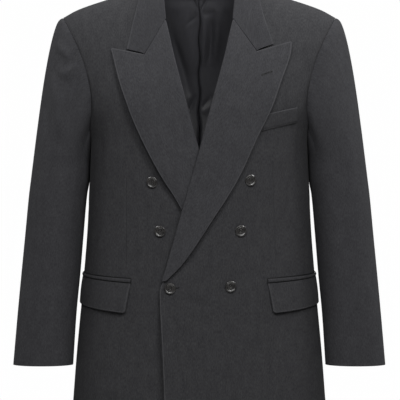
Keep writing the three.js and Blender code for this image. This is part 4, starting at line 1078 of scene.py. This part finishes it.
def turned_button():
    """One button facing +Z with its thread, at the origin, in millimetres."""
    bm = bmesh.new()
    ring = [bm.verts.new((r * BUTTON_RADIUS, 0, h * BUTTON_THICK)) for r, h in BUTTON_PROFILE]
    line = [bm.edges.new(pair) for pair in zip(ring, ring[1:])]
    bmesh.ops.spin(bm, geom=ring + line, cent=(0, 0, 0), axis=(0, 0, 1), angle=math.tau, steps=56, use_merge=True)
    bmesh.ops.remove_doubles(bm, verts=bm.verts, dist=0.001)
    bmesh.ops.recalc_face_normals(bm, faces=bm.faces)
    blank = bpy.data.meshes.new("button_blank")
    bm.to_mesh(blank)
    bm.clear()
    for i in range(4):
        turn = (i + 0.5) * math.tau / 4
        made = bmesh.ops.create_cone(
            bm, cap_ends=True, segments=20, radius1=HOLE_RADIUS, radius2=HOLE_RADIUS, depth=20
        )
        away = (HOLE_RING * math.cos(turn), HOLE_RING * math.sin(turn), 0)
        bmesh.ops.translate(bm, vec=away, verts=made["verts"])
    drills = bpy.data.meshes.new("thread_hole_drills")
    bm.to_mesh(drills)
    bm.clear()
    button = bpy.data.objects.new("button_blank", blank)
    drill = bpy.data.objects.new("thread_hole_drills", drills)
    for thing in (button, drill):
        bpy.context.scene.collection.objects.link(thing)
    cut = button.modifiers.new("thread_holes", "BOOLEAN")
    cut.object = drill
    cut.solver = "EXACT"
    drilled = bpy.data.meshes.new_from_object(button.evaluated_get(bpy.context.evaluated_depsgraph_get()))
    bm.from_mesh(drilled)
    for thing in (button, drill):
        bpy.data.objects.remove(thing)
    stitches = [((0, y, 0.7 * BUTTON_THICK), (2.0, 0.42, 0.36)) for y in (-1.77, 1.77)]
    stitches.append(((0, 0, -0.4), (2.2, 2.2, 1.5)))
    for middle, size in stitches:
        made = bmesh.ops.create_uvsphere(bm, u_segments=14, v_segments=9, radius=1)
        bmesh.ops.scale(bm, vec=size, verts=made["verts"])
        bmesh.ops.translate(bm, vec=middle, verts=made["verts"])
        for face in {face for vert in made["verts"] for face in vert.link_faces}:
            face.material_index = 1
    for face in bm.faces:
        face.smooth = True
    bm.to_mesh(drilled)
    bm.free()
    drilled.set_sharp_from_angle(angle=math.radians(40))
    return drilled


def facing(seat, away):
    """The matrix that stands a shape made facing +Z, in millimetres, on a seat so that it faces away."""
    across = np.cross((0, 0, 1), away)
    across /= np.linalg.norm(across)
    matrix = np.eye(4)
    matrix[:3, :3] = np.stack([across, np.cross(away, across), away], axis=1) / 1000
    matrix[:3, 3] = seat / 1000
    return camera.matrix_world.__class__(matrix)


one_button = turned_button()
for name, over, out, height in BUTTONS:
    seat = front_off(over, out, height, 0.0)
    away = unit(front_off(over, out, height, 1.0) - seat)
    side_sign = 1 if over else -1
    mesh = one_button.copy()
    mesh.name = name
    mesh.transform(facing((seat + away * BUTTON_STAND_OFF) * (side_sign, 1, 1), away * (side_sign, 1, 1)))
    mesh.materials.clear()
    mesh.materials.append(dark_horn)
    mesh.materials.append(black_thread)
    piece = bpy.data.objects.new(f"sewn_{name}", mesh)
    bpy.context.scene.collection.objects.link(piece)
    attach(piece, "root")
    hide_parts(name)


# Buttonholes
# Two buttonholes worked by hand in dark silk, with close stitches along the slit and round an eyelet: one
# in the wearer's left lapel near its peak, and one behind the fastened button, which hides its eyelet.
def on_cloth(shape, x, z):
    """The point of a bent piece that lies at (x, z) seen from the front, and the way its face looks."""
    u, v, reach = 0.5, 0.5, 0.5
    for _ in range(8):
        near = np.linspace(-reach, reach, 13)
        us, vs = np.meshgrid(np.clip(u + near, 0.005, 0.995), np.clip(v + near, 0.005, 0.995))
        points = shape(us, vs)
        best = np.argmin(np.hypot(points[..., 0] - x, points[..., 2] - z))
        u, v, reach = us.flat[best], vs.flat[best], reach * 0.3
    around = shape(np.array([[u - 0.004, u + 0.004, u]]), np.array([[v, v, v]]))[0]
    above = shape(np.array([[u, u]]), np.array([[v - 0.004, v + 0.004]]))[0]
    return around[2], unit(np.cross(around[1] - around[0], above[1] - above[0]))


STITCH = (0.42, 0.85, 0.38)
buttonhole_silk = twisted_thread("dark_buttonhole_silk", "#242426")
slit_shadow = twisted_thread("painted_slit_shadow", "#060606")


def buttonhole(name, find, inner, eyelet):
    """Stitches side by side along a slit from its inner end to its eyelet, both given as (x, z)."""
    bm = bmesh.new()
    inner, eyelet = np.array(inner, float), np.array(eyelet, float)
    length = np.linalg.norm(eyelet - inner)
    way = (eyelet - inner) / length
    square = np.array([-way[1], way[0]])
    count = int(length / (2 * STITCH[0]))
    marks = []
    for i in range(count):
        along = inner + way * (i + 0.5) * length / count
        marks += [(along + square * 0.95 * s, way, STITCH, 0) for s in (-1, 1)]
    for i in range(14):
        turn = i * math.tau / 14
        spoke = way * math.cos(turn) + square * math.sin(turn)
        marks.append((eyelet + spoke * 1.75, np.array([-spoke[1], spoke[0]]), STITCH, 0))
    # painted shadow: a near-black bar along the slit and a near-black disc in the eyelet stand in for the shade in the
    # cut
    marks.append(((inner + eyelet) / 2, way, (length / 2, 0.5, 0.22), 1))
    marks.append((eyelet, way, (1.15, 1.15, 0.3), 1))
    for (x, z), along, size, material in marks:
        seat, away = find(x, z)
        made = bmesh.ops.create_icosphere(bm, subdivisions=2, radius=1)
        bmesh.ops.scale(bm, vec=size, verts=made["verts"])
        flat_way = np.array([along[0], 0, along[1]])
        tangent = unit(flat_way - away * (flat_way @ away))
        matrix = np.eye(4)
        matrix[:3, :3] = np.stack([tangent, np.cross(away, tangent), away], axis=1) / 1000
        matrix[:3, 3] = seat / 1000
        bmesh.ops.transform(bm, matrix=camera.matrix_world.__class__(matrix), verts=made["verts"])
        for face in {face for vert in made["verts"] for face in vert.link_faces}:
            face.material_index = material
            face.smooth = True
    mesh = bpy.data.meshes.new(name)
    bm.to_mesh(mesh)
    bm.free()
    mesh.materials.append(buttonhole_silk)
    mesh.materials.append(slit_shadow)
    piece = bpy.data.objects.new(name, mesh)
    bpy.context.scene.collection.objects.link(piece)
    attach(piece, "root")


def on_upper_front(x, z):
    seat = front_off(True, x, z, 0.0)
    return seat, unit(front_off(True, x, z, 1.0) - seat)


buttonhole("lapel_buttonhole", lambda x, z: on_cloth(lapel_shape("over"), x, z), (110.5, -171), (129, -164.5))
buttonhole("front_buttonhole", on_upper_front, (-35, -550), (-54, -551.5))
